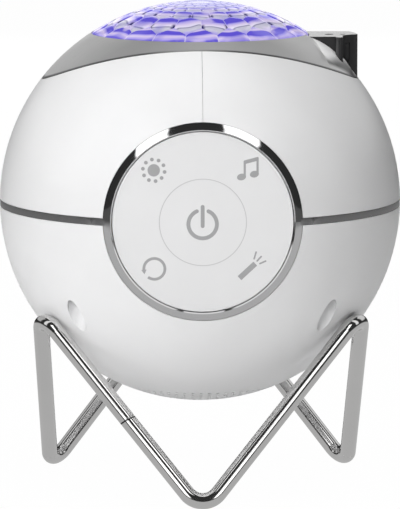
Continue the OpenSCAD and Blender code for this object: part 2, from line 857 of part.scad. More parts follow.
module laser_head() {
    color(c_black) at_ball() difference() {
        translate([0, 0, 20]) linear_extrude(height = head_z - 20) head_outline(0);
        sphere(r = bezel_in);
        cylinder(r = lens_r + 2.4, h = seat_z + 0.15);
        difference() {
            translate([lens_r + 4, head_wall - head_front, 20])
                cube([head_corner_x - lens_r - 5.8, head_half_w + head_front - 2 * head_wall,
                      head_z - 20 - head_wall]);
            translate([laser_x, 0, head_z - 11]) cylinder(r = laser_d / 2 + 1, h = 20);
        }
        translate([laser_x, 0, 20]) cylinder(r = laser_d / 2 + screw_fit, h = head_z - 20 - head_wall);
        translate([laser_x, 0, 20]) cylinder(r = aperture_d / 2, h = big);
        translate([ir_x, 0, 20]) cylinder(r = ir_d / 2, h = big);
        translate([ir_x - 0.6, -3.2, 20]) cube([3.2, 6.4, head_z - 20 - 3]);
    }
}

module laser_window() {
    color([0.75, 0.85, 0.95]) at_ball() translate([laser_x, 0, head_z - head_wall + 0.1])
        cylinder(r = aperture_d / 2 - 0.03, h = 1);
}

module star_grating() {
    color([0.8, 0.82, 0.88]) at_ball() translate([laser_x, 0, head_z - head_wall - 0.9])
        cylinder(r = laser_d / 2, h = 0.8);
}

module laser_module() {
    color(c_brass) at_ball() translate([laser_x, 0, head_z - head_wall - 12]) difference() {
        cylinder(r = laser_d / 2, h = 11);
        translate([0, 0, 9]) cylinder(r = laser_d / 4, h = 4);
    }
}

module receiver_window() {
    color([0.25, 0.08, 0.1]) at_ball() translate([ir_x, 0, head_z - 1.4])
        cylinder(r = ir_d / 2 - 0.03, h = 1.2);
}

module ir_receiver() {
    color(c_black) at_ball() translate([ir_x, -2.8, head_z - 9]) union() {
        cube([2.3, 5.6, 5.8]);
        for (y = [0.6, 2.5, 4.4]) translate([0.8, y, -4]) cube([0.5, 0.5, 4.2]);
    }
}

// ---- Light engine -------------------------------------------------------------------------

module effect_wheel() {
    collar_in = chamber_r + collar_fit;
    color([0.85, 0.9, 1]) at_ball() translate([0, 0, wheel_z]) difference() {
        union() {
            linear_extrude(height = wheel_t) polygon(gear_outline(wheel_teeth, tooth_m, 90));
            translate([0, 0, -2.5]) cylinder(r = collar_in + 1.4, h = 3);
        }
        translate([0, 0, -5]) cylinder(r = collar_in, h = 5);
        for (i = [0:7]) rotate([0, 0, 45 * i]) {
            translate([15.5, 0, wheel_t + 8]) sphere(r = 9);
            rotate([0, 0, 22.5]) translate([8, 0, wheel_t + 5]) sphere(r = 5.8);
        }
    }
}

module light_chamber() {
    color(c_white) at_ball() difference() {
        union() {
            translate([0, 0, chamber_z]) cylinder(r = chamber_r - 1, h = chamber_top - chamber_z);
            translate([0, 0, chamber_top - 5]) cylinder(r = chamber_r, h = 5);
            translate([0, 0, chamber_z]) cylinder(r = lamp_board_d / 2, h = 2);
        }
        translate([0, 0, chamber_z - 1]) cylinder(r1 = 11.2, r2 = chamber_r - 2.4,
                                                  h = chamber_top - chamber_z + 2);
        for (a = [45:90:315]) rotate([0, 0, a]) translate([lamp_board_d / 2 - 2.5, 0, chamber_z - 1])
            cylinder(r = 1.3, h = 8);
    }
}

module lamp_board() {
    color(c_white) at_ball() translate([0, 0, lamp_z]) difference() {
        cylinder(r = lamp_board_d / 2, h = lamp_board_t - eps);
        for (a = [45:90:315]) rotate([0, 0, a]) translate([lamp_board_d / 2 - 2.5, 0, -1])
            cylinder(r = 1.3, h = 8);
    }
}

module lamp_leds() {
    color([1, 0.95, 0.7]) at_ball() for (a = [45:90:315]) rotate([0, 0, a])
        translate([5.5, 0, lamp_z + lamp_board_t]) {
            translate([-1.75, -1.75, 0]) cube([3.5, 3.5, 1]);
            translate([0, 0, 1]) intersection() {
                sphere(r = 1.4);
                translate([-2, -2, -0.1]) cube([4, 4, 4]);
            }
        }
}

module heat_sink() {
    fin = 1.6;
    color([0.75, 0.76, 0.78]) at_ball() translate([0, 0, sink_base + 0.05]) intersection() {
        cylinder(r = lamp_board_d / 2 - 1, h = sink_h - 0.1);
        union() {
            translate([-30, -30, sink_h - 3.1]) cube([60, 60, 3]);
            for (i = [-4:4]) translate([i * 5 - fin / 2, -30, 0]) cube([fin, 60, sink_h - 1]);
        }
    }
}

module motor_bracket() {
    hole = motor_d / 2 - 3;
    width = motor_d - 1;
    flange_h = 16;
    color(c_steel) at_ball() translate([0, 0, bracket_z]) difference() {
        union() {
            translate([-width / 2, chamber_r - 0.9, -bracket_t])
                cube([width, gear_gap - chamber_r, bracket_t]);
            translate([0, gear_gap, -bracket_t]) cylinder(r = motor_d / 2, h = bracket_t);
            translate([-width / 2, chamber_r - 0.9, -flange_h])
                cube([width, 0.75 * bracket_t, flange_h]);
        }
        translate([0, gear_gap, -10]) cylinder(r = hole, h = 20);
        translate([0, 0, -30]) cylinder(r = chamber_r + 0.1, h = 60);
    }
}

module gear_motor() {
    color([0.6, 0.61, 0.63]) at_ball() translate([0, gear_gap, motor_z]) difference() {
        union() {
            translate([0, 0, -motor_h]) cylinder(r = motor_d / 2, h = motor_h);
            cylinder(r = motor_d / 2 - 3.1, h = bracket_t);
        }
        translate([0, 0, -7]) cylinder(r = shaft_r + 0.05, h = 20);
    }
}

module motor_shaft() {
    color(c_steel) at_ball() translate([0, gear_gap, motor_z - 6.7])
        cylinder(r = shaft_r, h = wheel_z + wheel_t + 0.6 - motor_z + 6.7);
}

module motor_pinion() {
    color(c_white) at_ball() translate([0, gear_gap, wheel_z - 0.3]) difference() {
        linear_extrude(height = wheel_t + 0.6)
            polygon(gear_outline(pinion_teeth, tooth_m, 270 + 180 / pinion_teeth));
        translate([0, 0, -1]) cylinder(r = shaft_r + 0.01, h = 10);
    }
}

// ---- Chassis and boards -------------------------------------------------------------------

module board_places() {
    for (x = [-board_x, board_x]) for (y = [-board_y, board_y]) translate([x, y, 0]) children();
}

module chassis_deck() {
    color(c_black) at_ball() difference() {
        union() {
            translate([0, 0, -half_band]) intersection() {
                cylinder(r = deck_r, h = band_h);
                translate([-big / 2, deck_setback - ring_depth, -1]) cube([big, big, 20]);
            }
            screw_places() translate([0, 0, -half_band]) cylinder(r = post_r, h = band_h);
            for (az = [45, 135, 225, 315]) rotate([0, 0, az])
                translate([-post_r, -screw_plan_r, -half_band])
                    cube([2 * post_r, deck_gap, band_h]);
        }
        screw_places() translate([0, 0, -5]) cylinder(r = screw_d / 2 + 0.2, h = 10);
        board_places() translate([0, 0, -5]) cylinder(r = 1.3, h = 10);
    }
}

module main_board() {
    color(c_board) at_ball() translate([0, 0, -half_band - spacer_h]) difference() {
        translate([-board_w / 2, -board_d / 2, -board_t]) cube([board_w, board_d, board_t]);
        board_places() translate([0, 0, -5]) cylinder(r = 1.6, h = 10);
    }
}

// Boxes on the main board, in steps of its grid: a corner's x and y, then length, width and height
board_boxes = [[-4, -4, 6, 6, 0.8], [7, -7, 4.5, 4.5, 2], [-15, 3, 7, 3, 3], [-15, -6, 5, 2.5, 3]];

// Cans on the main board, in steps of its grid: x and y of the middle, then radius and height
board_cans = [[9, 5, 2, 3.5], [14, 2, 1.5, 3]];

module board_parts() {
    grid = board_w / 40;
    color(c_black) at_ball() translate([0, 0, 2 * eps - half_band - spacer_h]) {
        for (b = board_boxes)
            translate(grid * [b[0], b[1], 0]) cube(grid * [b[2], b[3], b[4]]);
        for (c = board_cans)
            translate(grid * [c[0], c[1], 0]) cylinder(r = grid * c[2], h = grid * c[3]);
    }
}

// Four screws with their spacers, which hang the main board under the deck
module board_screws() {
    color(c_brass) at_ball() board_places() translate([0, 0, -half_band - spacer_h]) {
        translate([0, 0, 0.05]) cylinder(r = 2.6, h = spacer_h - 0.1);
        translate([0, 0, -board_t - 0.05]) screw(2.5, spacer_h + 3, 2.4, 1.4);
    }
}

// ---- Speaker ------------------------------------------------------------------------------

module speaker_baffle() {
    color(c_black) at_ball() translate([0, 0, box_top + 0.05]) difference() {
        cylinder(r = box_out, h = baffle_t - 0.1);
        translate([0, 0, -1]) cylinder(r = speaker_r - 3, h = 10);
        for (a = [0:90:270]) rotate([0, 0, a]) translate([speaker_r + 3, 0, -1])
            cylinder(r = speaker_screw_d / 2 + screw_fit, h = 10);
    }
}

module speaker_frame() {
    color([0.35, 0.36, 0.38]) at_ball() translate([0, 0, speaker_z]) difference() {
        union() {
            cylinder(r = speaker_r, h = 1.2);
            cylinder(r1 = speaker_r - 2, r2 = magnet_r, h = basket_h);
            for (a = [0:90:270]) rotate([0, 0, a]) translate([speaker_r + 3, 0, 0])
                cylinder(r = 2.6, h = 1.2);
            for (a = [0, 90]) rotate([0, 0, a]) translate([-speaker_r - 3, -2.6, 0])
                cube([2 * speaker_r + 6, 5.2, 1.2]);
        }
        translate([0, 0, -1]) cylinder(r = lip_r + 0.02, h = 1 + ledge_z);
        translate([0, 0, ledge_z - eps])
            cylinder(r1 = lip_r - 0.9, r2 = magnet_r - 2.6, h = basket_h + 1 - ledge_z);
        for (a = [30:60:330]) rotate([0, 0, a]) translate([15, -4, 4]) cube([20, 8, 4]);
        for (a = [0:90:270]) rotate([0, 0, a]) translate([speaker_r + 3, 0, -1])
            cylinder(r = speaker_screw_d / 2 + screw_fit, h = 10);
    }
}

// Lip, half-round surround, cone, voice coil and dust cap, turned in one piece
module speaker_cone() {
    roll = 1.2;
    wall = 0.4;
    edge = lip_r - 2 * roll - 0.6;
    color([0.12, 0.12, 0.13]) at_ball() translate([0, 0, speaker_z]) rotate_extrude() union() {
        translate([lip_r - 1, ledge_z - wall - 0.02]) square([1, wall]);
        translate([lip_r - 0.8 - roll, ledge_z - 0.02]) difference() {
            circle(r = roll);
            circle(r = roll - wall);
            translate([-5, 0]) square([10, 5]);
        }
        polygon([[edge, 0.5], [edge + 0.8, 0.5], [edge + 0.8, 0.9], [edge, 0.9],
                 [neck_r, 7.4], [neck_r - 0.6, 7.4], [neck_r - 0.6, 6.7]]);
        translate([neck_r - 0.6, 6.8]) square([0.6, basket_h - 7]);
        polygon([[0, 5.6], [3, 5.8], [6, 6.4], [neck_r - 0.3, 7.2], [neck_r - 0.3, 7.5], [0, 6.2]]);
    }
}

module speaker_magnet() {
    color([0.3, 0.3, 0.32]) at_ball() translate([0, 0, speaker_z + basket_h + 0.05]) union() {
        cylinder(r = magnet_r - 1, h = 1.6);
        translate([0, 0, 1.5]) cylinder(r = magnet_r, h = magnet_h - 4);
        translate([0, 0, magnet_h - 2.6]) cylinder(r = magnet_r - 1, h = 1.8);
    }
}

module speaker_screws() {
    color(c_steel) at_ball() for (a = [0:90:270]) rotate([0, 0, a])
        translate([speaker_r + 3, 0, speaker_z + 1.2 + eps]) mirror([0, 0, 1])
            screw(speaker_screw_d, 3 * speaker_screw_d, speaker_screw_d, 1.4);
}

// ---- Power inlet --------------------------------------------------------------------------

module power_inlet() {
    color(c_black) at_ball() translate([0, 0, -inlet_drop]) to_back()
        translate([0, 0, inlet_face]) difference() {
            union() {
                translate([0, 0, -inlet_body_l]) cylinder(r = inlet_body_r, h = inlet_body_l + 1);
                translate([0, 0, 0.02]) cylinder(r = inlet_body_r + 1.8, h = 1.2);
            }
            translate([0, 0, -inlet_depth]) cylinder(r = inlet_d / 2, h = 20);
            translate([0, 0, -inlet_body_l - 1]) cylinder(r = inlet_pin_d / 2 + 0.31, h = 20);
        }
}

module inlet_pin() {
    color(c_brass) at_ball() translate([0, 0, -inlet_drop]) to_back()
        translate([0, 0, inlet_face - inlet_body_l - 2]) union() {
            cylinder(r = inlet_pin_d / 2 + 0.3, h = inlet_body_l + 2 - inlet_depth);
            cylinder(r = inlet_pin_d / 2, h = inlet_body_l + 2 - 0.4);
        }
}

module inlet_nut() {
    color(c_steel) at_ball() translate([0, 0, -inlet_drop]) to_back()
        translate([0, 0, inlet_face - 4 - 2.6]) difference() {
            cylinder(r = inlet_body_r + 2.6, h = 2.5, $fn = 6);
            translate([0, 0, -1]) cylinder(r = inlet_body_r + screw_fit, h = 5);
        }
}

// ---- Nodes --------------------------------------------------------------------------------

stand_rod();
joint_dowel();
lower_shell();
upper_shell_left();
upper_shell_right();
equator_trim();
shell_screws();
panel_ring();
function_plate();
power_button();
panel_carrier();
carrier_screws();
key_board();
key_switches();
top_bezel();
dome_lens();
lens_gasket();
laser_head();
laser_window();
laser_module();
star_grating();
receiver_window();
ir_receiver();
effect_wheel();
light_chamber();
lamp_board();
lamp_leds();
heat_sink();
motor_bracket();
gear_motor();
motor_shaft();
motor_pinion();
chassis_deck();
main_board();
board_parts();
board_screws();
speaker_baffle();
speaker_frame();
speaker_cone();
speaker_magnet();
speaker_screws();
power_inlet();
inlet_pin();
inlet_nut();
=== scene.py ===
# %% [markdown]
# # Star night light projector
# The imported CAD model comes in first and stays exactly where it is. It already holds the ball, the
# bent rod cradle, the control panel and everything inside. This lesson adds what a catalogue
# picture needs: a camera, a studio, a finish for every surface, the faceted lens and the printed
# signs. All lengths are metres, +Z is up and the control panel faces -Y.

import json
import math

import bpy
from mathutils import Matrix, Vector
from mathutils.bvhtree import BVHTree


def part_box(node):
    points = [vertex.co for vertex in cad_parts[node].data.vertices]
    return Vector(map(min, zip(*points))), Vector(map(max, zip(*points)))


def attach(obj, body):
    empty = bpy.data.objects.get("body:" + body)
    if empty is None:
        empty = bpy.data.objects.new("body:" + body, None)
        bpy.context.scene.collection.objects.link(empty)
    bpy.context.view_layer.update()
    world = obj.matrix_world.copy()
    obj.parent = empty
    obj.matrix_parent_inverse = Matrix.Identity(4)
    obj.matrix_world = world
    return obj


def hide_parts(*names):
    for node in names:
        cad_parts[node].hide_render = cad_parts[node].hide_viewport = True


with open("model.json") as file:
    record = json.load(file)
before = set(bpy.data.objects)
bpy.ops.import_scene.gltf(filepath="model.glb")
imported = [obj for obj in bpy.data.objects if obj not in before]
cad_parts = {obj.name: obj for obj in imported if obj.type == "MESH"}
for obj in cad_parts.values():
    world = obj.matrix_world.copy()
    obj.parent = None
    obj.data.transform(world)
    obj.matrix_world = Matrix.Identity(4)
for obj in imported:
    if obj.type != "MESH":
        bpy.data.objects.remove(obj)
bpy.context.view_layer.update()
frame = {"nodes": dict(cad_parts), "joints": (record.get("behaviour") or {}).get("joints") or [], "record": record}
nodes = frame["nodes"]
print("pieces in the frame:", len(nodes))

# %% [markdown]
# The driving places are measured from the model, so they aren't typed a second time. The hinge that
# tilts the ball runs through its middle, and the chrome band gives the ball's radius, because the
# band is the only piece that reaches its full width. The lens gives its own rim radius.

# %% Measure the driving places
MM = 0.001
joints = {joint["name"]: joint for joint in frame["joints"]}
ball_middle = Vector(joints["ball_tilt"]["pos_m"])


def half_width(node):
    low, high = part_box(node)
    return (high.x - low.x) / 2


ball_radius = half_width("equator_trim")
lens_radius = half_width("dome_lens")
print("ball radius in mm:", round(ball_radius / MM, 2), "lens:", round(lens_radius / MM, 2))

# %% [markdown]
# ## The camera
# A long lens far away gives the flat look of a product picture. The distance and the height above
# the ball set the perspective. The focal length sets the size in the frame, and the aim is a
# little under the middle of the ball, so that the feet fit in and no lens shift is needed.

# %% Place the camera
CAMERA_DISTANCE = 1.791
CAMERA_AZIMUTH = -0.9
CAMERA_ELEVATION = 6.95
FOCAL_LENGTH_MM = 337.4
AIM_BELOW_BALL = 0.6545
CLIP_END = 50


def towards(azimuth, elevation):
    """Unit direction from the ball, in degrees, with azimuth 0 in front of the panel."""
    turn, rise = math.radians(azimuth), math.radians(elevation)
    return Vector((math.cos(rise) * math.sin(turn), -math.cos(rise) * math.cos(turn), math.sin(rise)))


camera_data = bpy.data.cameras.new("camera")
camera_data.lens = FOCAL_LENGTH_MM
camera_data.clip_end = CLIP_END
camera = bpy.data.objects.new("camera", camera_data)
camera.rotation_euler = (math.radians(90 - CAMERA_ELEVATION - AIM_BELOW_BALL), 0,
                         math.radians(CAMERA_AZIMUTH))
camera.location = ball_middle + CAMERA_DISTANCE * towards(CAMERA_AZIMUTH, CAMERA_ELEVATION)
bpy.context.scene.collection.objects.link(camera)
bpy.context.scene.camera = camera
bpy.context.scene.view_settings.view_transform = "Standard"
print("camera at", [round(value, 3) for value in camera.location])

# %% [markdown]
# ## Small helpers for node trees
# Materials, worlds and node groups are all trees of nodes. One helper fills the inputs of a node
# and another adds a node, so that each finish below reads as a short list of steps.


# %% Helper for shader nodes
def fill(tree, node, **inputs):
    """Puts plain values into inputs of a node and links sockets to them. n2 is the third input."""
    for key, value in inputs.items():
        place = int(key[1:]) if key[0] == "n" and key[1:].isdigit() else key.replace("_", " ")
        if isinstance(value, bpy.types.NodeSocket):
            tree.links.new(value, node.inputs[place])
        else:
            node.inputs[place].default_value = value


def add_node(tree, kind, settings=None, **inputs):
    """A new node with its settings and inputs."""
    node = tree.nodes.new(kind)
    for key, value in (settings or {}).items():
        setattr(node, key, value)
    fill(tree, node, **inputs)
    return node


def maths(tree, operation, first, second=0.0, clamp=False):
    """The result socket of one Math node."""
    settings = {"operation": operation, "use_clamp": clamp}
    return add_node(tree, "ShaderNodeMath", settings, n0=first, n1=second).outputs[0]


def product(tree, first, *others):
    for other in others:
        first = maths(tree, "MULTIPLY", first, other)
    return first


def map_range(tree, value, low, high, to_low=0.0, to_high=1.0, smooth=False):
    """Maps a value from one range to another, clamped at both ends."""
    kind = "SMOOTHSTEP" if smooth else "LINEAR"
    node = add_node(tree, "ShaderNodeMapRange", {"interpolation_type": kind},
                    n0=value, n1=low, n2=high, n3=to_low, n4=to_high)
    return node.outputs[0]


def blend_colours(tree, factor, first, second, kind="MIX"):
    """The colour socket of one Mix node."""
    settings = {"data_type": "RGBA", "blend_type": kind}
    return add_node(tree, "ShaderNodeMix", settings, n0=factor, n6=first, n7=second).outputs[2]


def grey(value):
    return (value, value, value, 1)


print("helpers ready")

# %% [markdown]
# ## The studio
# The floor and the world are white to the camera and through glass. They light the object only at
# a plain level, so white plastic keeps its shading. Chrome shows nothing but its surroundings, so
# mirror-like rays meet a dark room instead, with a patch of grey floor under the object. The
# underside of the floor is clear, which leaves the feet open to a look from below.

# %% Build the floor and the world
FLOOR_HALF = 12.0
FLOOR_WHITE = 0.92
FLOOR_GLOW_SHARE = 0.985
WORLD_LIGHT = 0.02
DARK_ROOM = 0.035
FLOOR_IN_CHROME = 0.56
FAR_FLOOR_IN_CHROME = 0.10
GREY_PATCH_RADIUS = 0.62
GREY_PATCH_END = 0.95

world = bpy.data.worlds.new("studio")
bpy.context.scene.world = world
world.use_nodes = True
sky = world.node_tree
sky.nodes.clear()


def ray_kinds(tree):
    """Two masks: rays from the camera or through glass, and rays from a mirror."""
    path = tree.nodes.new("ShaderNodeLightPath")
    through_glass = path.outputs["Is Transmission Ray"]
    seen = maths(tree, "ADD", path.outputs["Is Camera Ray"], through_glass, clamp=True)
    return seen, path.outputs["Is Glossy Ray"]


def vector_value(tree, operation, first, second=(0, 0, 0)):
    """The number that one Vector Math node gives, such as a length or a distance."""
    node = add_node(tree, "ShaderNodeVectorMath", {"operation": operation}, n0=first, n1=second)
    return node.outputs["Value"]


def bare_material(name):
    material = bpy.data.materials.new(name)
    material.use_nodes = True
    material.node_tree.nodes.clear()
    return material, material.node_tree


def glow_node(tree, kind, level):
    return add_node(tree, kind, Color=grey(1), Strength=level).outputs[0]


def mix_shaders(tree, factor, first, second):
    return add_node(tree, "ShaderNodeMixShader", n0=factor, n1=first, n2=second).outputs[0]


seen, mirrored = ray_kinds(sky)
open_sky = mix_shaders(sky, seen, glow_node(sky, "ShaderNodeBackground", WORLD_LIGHT),
                       glow_node(sky, "ShaderNodeBackground", 1.0))
whole_sky = mix_shaders(sky, mirrored, open_sky, glow_node(sky, "ShaderNodeBackground", DARK_ROOM))
add_node(sky, "ShaderNodeOutputWorld", Surface=whole_sky)

floor_material, tree = bare_material("pale_floor")
seen, mirrored = ray_kinds(tree)
geometry = tree.nodes.new("ShaderNodeNewGeometry")
matte = add_node(tree, "ShaderNodeBsdfDiffuse", Color=grey(FLOOR_WHITE)).outputs[0]
plain_floor = mix_shaders(tree, product(tree, seen, FLOOR_GLOW_SHARE), matte,
                          glow_node(tree, "ShaderNodeEmission", 1.0))
from_object = vector_value(tree, "LENGTH", geometry.outputs["Position"])
patch = map_range(tree, from_object, GREY_PATCH_RADIUS, GREY_PATCH_END,
                  FLOOR_IN_CHROME, FAR_FLOOR_IN_CHROME)
top_side = mix_shaders(tree, mirrored, plain_floor, glow_node(tree, "ShaderNodeEmission", patch))
clear = add_node(tree, "ShaderNodeBsdfTransparent").outputs[0]
add_node(tree, "ShaderNodeOutputMaterial",
         Surface=mix_shaders(tree, geometry.outputs["Backfacing"], top_side, clear))


def new_piece(name, points, faces):
    mesh = bpy.data.meshes.new(name)
    mesh.from_pydata([tuple(point) for point in points], [], faces)
    piece = bpy.data.objects.new(name, mesh)
    bpy.context.scene.collection.objects.link(piece)
    return piece


def studio_sheet(name, points, faces, material):
    """A part of the studio, which isn't part of the object."""
    sheet = new_piece(name, points, faces)
    sheet.data.materials.append(material)
    return sheet


studio_sheet("floor", [(-FLOOR_HALF, -FLOOR_HALF, 0), (FLOOR_HALF, -FLOOR_HALF, 0),
                       (FLOOR_HALF, FLOOR_HALF, 0), (-FLOOR_HALF, FLOOR_HALF, 0)],
             [(0, 1, 2, 3)], floor_material)
print("floor and world ready")

# %% [markdown]
# A photographer hangs white cards round a chrome piece, because each card becomes one highlight.
# Every card here is a patch of a dome round the ball, given by the directions of its four corners,
# and it fades at its edges. Only mirror-like rays see the cards, so they leave the light on the
# white plastic alone.


# %% Hang the cards
CARD_DISTANCE = 2.4
CARD_STEPS = 16


def uv_parts(tree, name):
    """The two numbers of a UV map that say how far across and how far up a point lies."""
    uv = add_node(tree, "ShaderNodeUVMap", {"uv_map": name})
    return add_node(tree, "ShaderNodeSeparateXYZ", Vector=uv.outputs[0]).outputs[:2]


def card_material(name, level, fade):
    """A glow that falls to nothing over the outer part of the card."""
    material, tree = bare_material(name)
    glow = level
    for share in uv_parts(tree, "card"):
        off_middle = maths(tree, "ABSOLUTE", maths(tree, "SUBTRACT", share, 0.5))
        from_edge = maths(tree, "SUBTRACT", 0.5, off_middle)
        glow = product(tree, glow, map_range(tree, from_edge, 0.0, fade, smooth=True))
    add_node(tree, "ShaderNodeOutputMaterial", Surface=glow_node(tree, "ShaderNodeEmission", glow))
    return material


def add_uvs(mesh, name, point_uvs):
    layer = mesh.uv_layers.new(name=name)
    for loop in mesh.loops:
        layer.data[loop.index].uv = point_uvs[loop.vertex_index]


def grid(steps_across, steps_up):
    """The shares across and up of a grid of points, row by row, and the faces between them."""
    shares = [(i / steps_across, j / steps_up)
              for j in range(steps_up + 1) for i in range(steps_across + 1)]
    wide = steps_across + 1
    faces = [(first, first + 1, first + wide + 1, first + wide)
             for row in range(steps_up) for first in range(row * wide, row * wide + steps_across)]
    return shares, faces


def card(name, corners, level, fade):
    """A glowing patch of a dome. Its corners go round from the lower left one."""
    low_left, low_right, high_right, high_left = [Vector(corner) for corner in corners]
    uvs, faces = grid(CARD_STEPS, CARD_STEPS)
    points = []
    for across, up in uvs:
        low, high = low_left.lerp(low_right, across), high_left.lerp(high_right, across)
        points.append(ball_middle + CARD_DISTANCE * towards(*low.lerp(high, up)))
    sheet = studio_sheet(name, points, faces, card_material(name, level, fade))
    add_uvs(sheet.data, "card", uvs)
    for ray in ("camera", "diffuse", "transmission", "volume_scatter", "shadow"):
        setattr(sheet, "visible_" + ray, False)


CARDS = [
    # name, corners as azimuth and elevation in degrees, level, fade
    ("card_left_high", [(-26, 17), (-12, 26), (-31, 56), (-56, 39)], 2.2, 0.10),
    ("card_left_low", [(-38, 4), (-16, 4), (-10, 29), (-30, 20)], 2.2, 0.10),
    ("card_right_high", [(9, 28), (23, 21), (53, 44), (21, 59)], 2.2, 0.10),
    ("card_right_low", [(16, 4), (38, 4), (30, 20), (10, 29)], 2.2, 0.10),
    ("arc_left", [(-93, 4), (-80, 4), (-60, 76), (-86, 76)], 1.0, 0.10),
    ("arc_right", [(80, 4), (93, 4), (86, 76), (60, 76)], 1.0, 0.10),
    ("overhead", [(-180, 72), (180, 72), (180, 90), (-180, 90)], 1.0, 0.02),
    ("back_right", [(106, 6), (162, 6), (162, 54), (106, 54)], 0.75, 0.15),
    ("back_left", [(-162, 6), (-106, 6), (-106, 54), (-162, 54)], 0.55, 0.15),
    ("backdrop", [(166, 1), (194, 1), (194, 30), (166, 30)], 0.95, 0.08),
]
for settings in CARDS:
    card(*settings)
print("cards:", len(CARDS))

# %% [markdown]
# A wide soft box stands in front, to the left and not much higher than the ball. A weak box stands
# at the left, one hangs overhead and one keeps the back from going dark. The ball grows darker to
# the right, and the pale floor sends light back up to its underside. Mirrors see the cards and not
# the lamps.


# %% Set the lamps
LAMP_DISTANCE = 1.9


def soft_box(name, azimuth, elevation, width, height, watts):
    data = bpy.data.lights.new(name, "AREA")
    data.shape = "RECTANGLE"
    data.size = width
    data.size_y = height
    data.energy = watts
    lamp = bpy.data.objects.new(name, data)
    lamp.location = ball_middle + LAMP_DISTANCE * towards(azimuth, elevation)
    lamp.rotation_euler = (ball_middle - lamp.location).to_track_quat("-Z", "Y").to_euler()
    lamp.visible_glossy = False
    lamp.visible_camera = False
    bpy.context.scene.collection.objects.link(lamp)


LAMPS = [
    # name, azimuth and elevation in degrees, width, height, watts
    ("front_box", -24, 13, 1.5, 0.8, 22.5),
    ("left_box", -85, 12, 0.8, 0.8, 6.5),
    ("overhead", 30, 81, 1.4, 1.4, 25.0),
    ("back_box", 180, 14, 1.2, 0.8, 13.0),
]
for settings in LAMPS:
    soft_box(*settings)
print("lamps:", len(LAMPS))

# %% [markdown]
# ## Shared surface effects
# Two effects turn up in many finishes: the fine grain of a moulded or painted surface, and soft
# handling marks. Each one is a node group with named inputs, built once. A group puts out only
# values, and the shader stays in the material.


# %% Build the shared shader groups
def new_group(name, numbers, outputs):
    """A shader node group with a point and named numbers going in."""
    group = bpy.data.node_groups.new(name, "ShaderNodeTree")
    group.interface.new_socket("Point", in_out="INPUT", socket_type="NodeSocketVector")
    for label, default in numbers.items():
        socket = group.interface.new_socket(label, in_out="INPUT", socket_type="NodeSocketFloat")
        socket.default_value = default
    for label in outputs:
        group.interface.new_socket(label, in_out="OUTPUT", socket_type="NodeSocketFloat")
    return group, group.nodes.new("NodeGroupInput").outputs, group.nodes.new("NodeGroupOutput")


def noise(tree, point, scale, detail, **more):
    inputs = dict(Vector=point, Scale=scale, Detail=detail, **more)
    return add_node(tree, "ShaderNodeTexNoise", **inputs).outputs[0]


def build_grain():
    """Fine grain for a bump, and slow cloudy variation for the colour and the gloss."""
    group, given, result = new_group(
        "surface_grain", {"Grain per metre": 3000.0, "Clouds per metre": 25.0}, ["Height", "Cloud"])
    fine = noise(group, given["Point"], given["Grain per metre"], 2.0)
    slow = noise(group, given["Point"], given["Clouds per metre"], 3.0)
    fill(group, result, Height=fine, Cloud=map_range(group, slow, 0.3, 0.7))
    return group


def build_marks():
    """Short faint wipe marks: a noise that is stretched along one direction."""
    group, given, result = new_group(
        "handling_marks", {"Marks per metre": 120.0, "Amount": 0.3}, ["Mask"])
    stretch = add_node(group, "ShaderNodeMapping", Vector=given["Point"],
                       Rotation=(0.4, 0.9, 0.3), Scale=(1, 14, 1))
    lines = noise(group, stretch.outputs[0], given["Marks per metre"], 4.0, Roughness=0.65)
    patches = noise(group, given["Point"], 18.0, 1.0)
    thin = map_range(group, lines, 0.56, 0.68)
    where = map_range(group, patches, 0.45, 0.65)
    fill(group, result, Mask=product(group, thin, where, given["Amount"]))
    return group


GRAIN = build_grain()
MARKS = build_marks()
print("shader groups:", GRAIN.name, MARKS.name)

# %% [markdown]
# ## One recipe for hard surfaces
# Moulded plastic, paint, plating and bare metal differ in colour, gloss and grain, but they are
# made in the same steps: a base colour that drifts a little, a roughness that the clouds and the
# marks disturb, and a fine bump. So one function takes the numbers and gives a finished material.


# %% The recipe
COAT_ROUGHNESS = 0.04


def parts_of(material):
    """The tree and the shader of a material, and the place on the object as a socket."""
    tree = material.node_tree
    shader = next(node for node in tree.nodes if node.type == "BSDF_PRINCIPLED")
    return tree, shader, tree.nodes.new("ShaderNodeTexCoord").outputs["Object"]


def start_material(name):
    material = bpy.data.materials.new(name)
    material.use_nodes = True
    return material, *parts_of(material)


def group_node(tree, group, **inputs):
    return add_node(tree, "ShaderNodeGroup", {"node_tree": group}, **inputs)


def add_bump(tree, shader, height, depth):
    """A fine bump, as deep as the given length in metres."""
    bump = add_node(tree, "ShaderNodeBump", Strength=1.0, Distance=depth, Height=height)
    fill(tree, shader, Normal=bump.outputs[0])


def hard_finish(name, colour, roughness, metallic=0.0, coat=0.0, grain=3000.0, depth=10e-6,
                clouds=25.0, drift=0.04, marks=0.25, spread=0.06):
    """A hard surface: colour drift, uneven gloss, wipe marks and a fine bump."""
    material, tree, shader, point = start_material(name)
    surface = group_node(tree, GRAIN, Point=point, Grain_per_metre=grain, Clouds_per_metre=clouds)
    wiped = group_node(tree, MARKS, Point=point, Amount=marks)
    cloud = surface.outputs["Cloud"]
    darker = (*[channel * (1 - drift) for channel in colour], 1)
    cloudy = map_range(tree, cloud, 0, 1, roughness - spread / 2, roughness + spread / 2)
    rough = maths(tree, "ADD", cloudy, wiped.outputs["Mask"], clamp=True)
    fill(tree, shader, Base_Color=blend_colours(tree, cloud, (*colour, 1), darker),
         Roughness=rough, Metallic=metallic)
    add_bump(tree, shader, surface.outputs["Height"], depth)
    if coat > 0:
        fill(tree, shader, Coat_Weight=coat, Coat_Roughness=COAT_ROUGHNESS)
    return material


print("recipe ready")

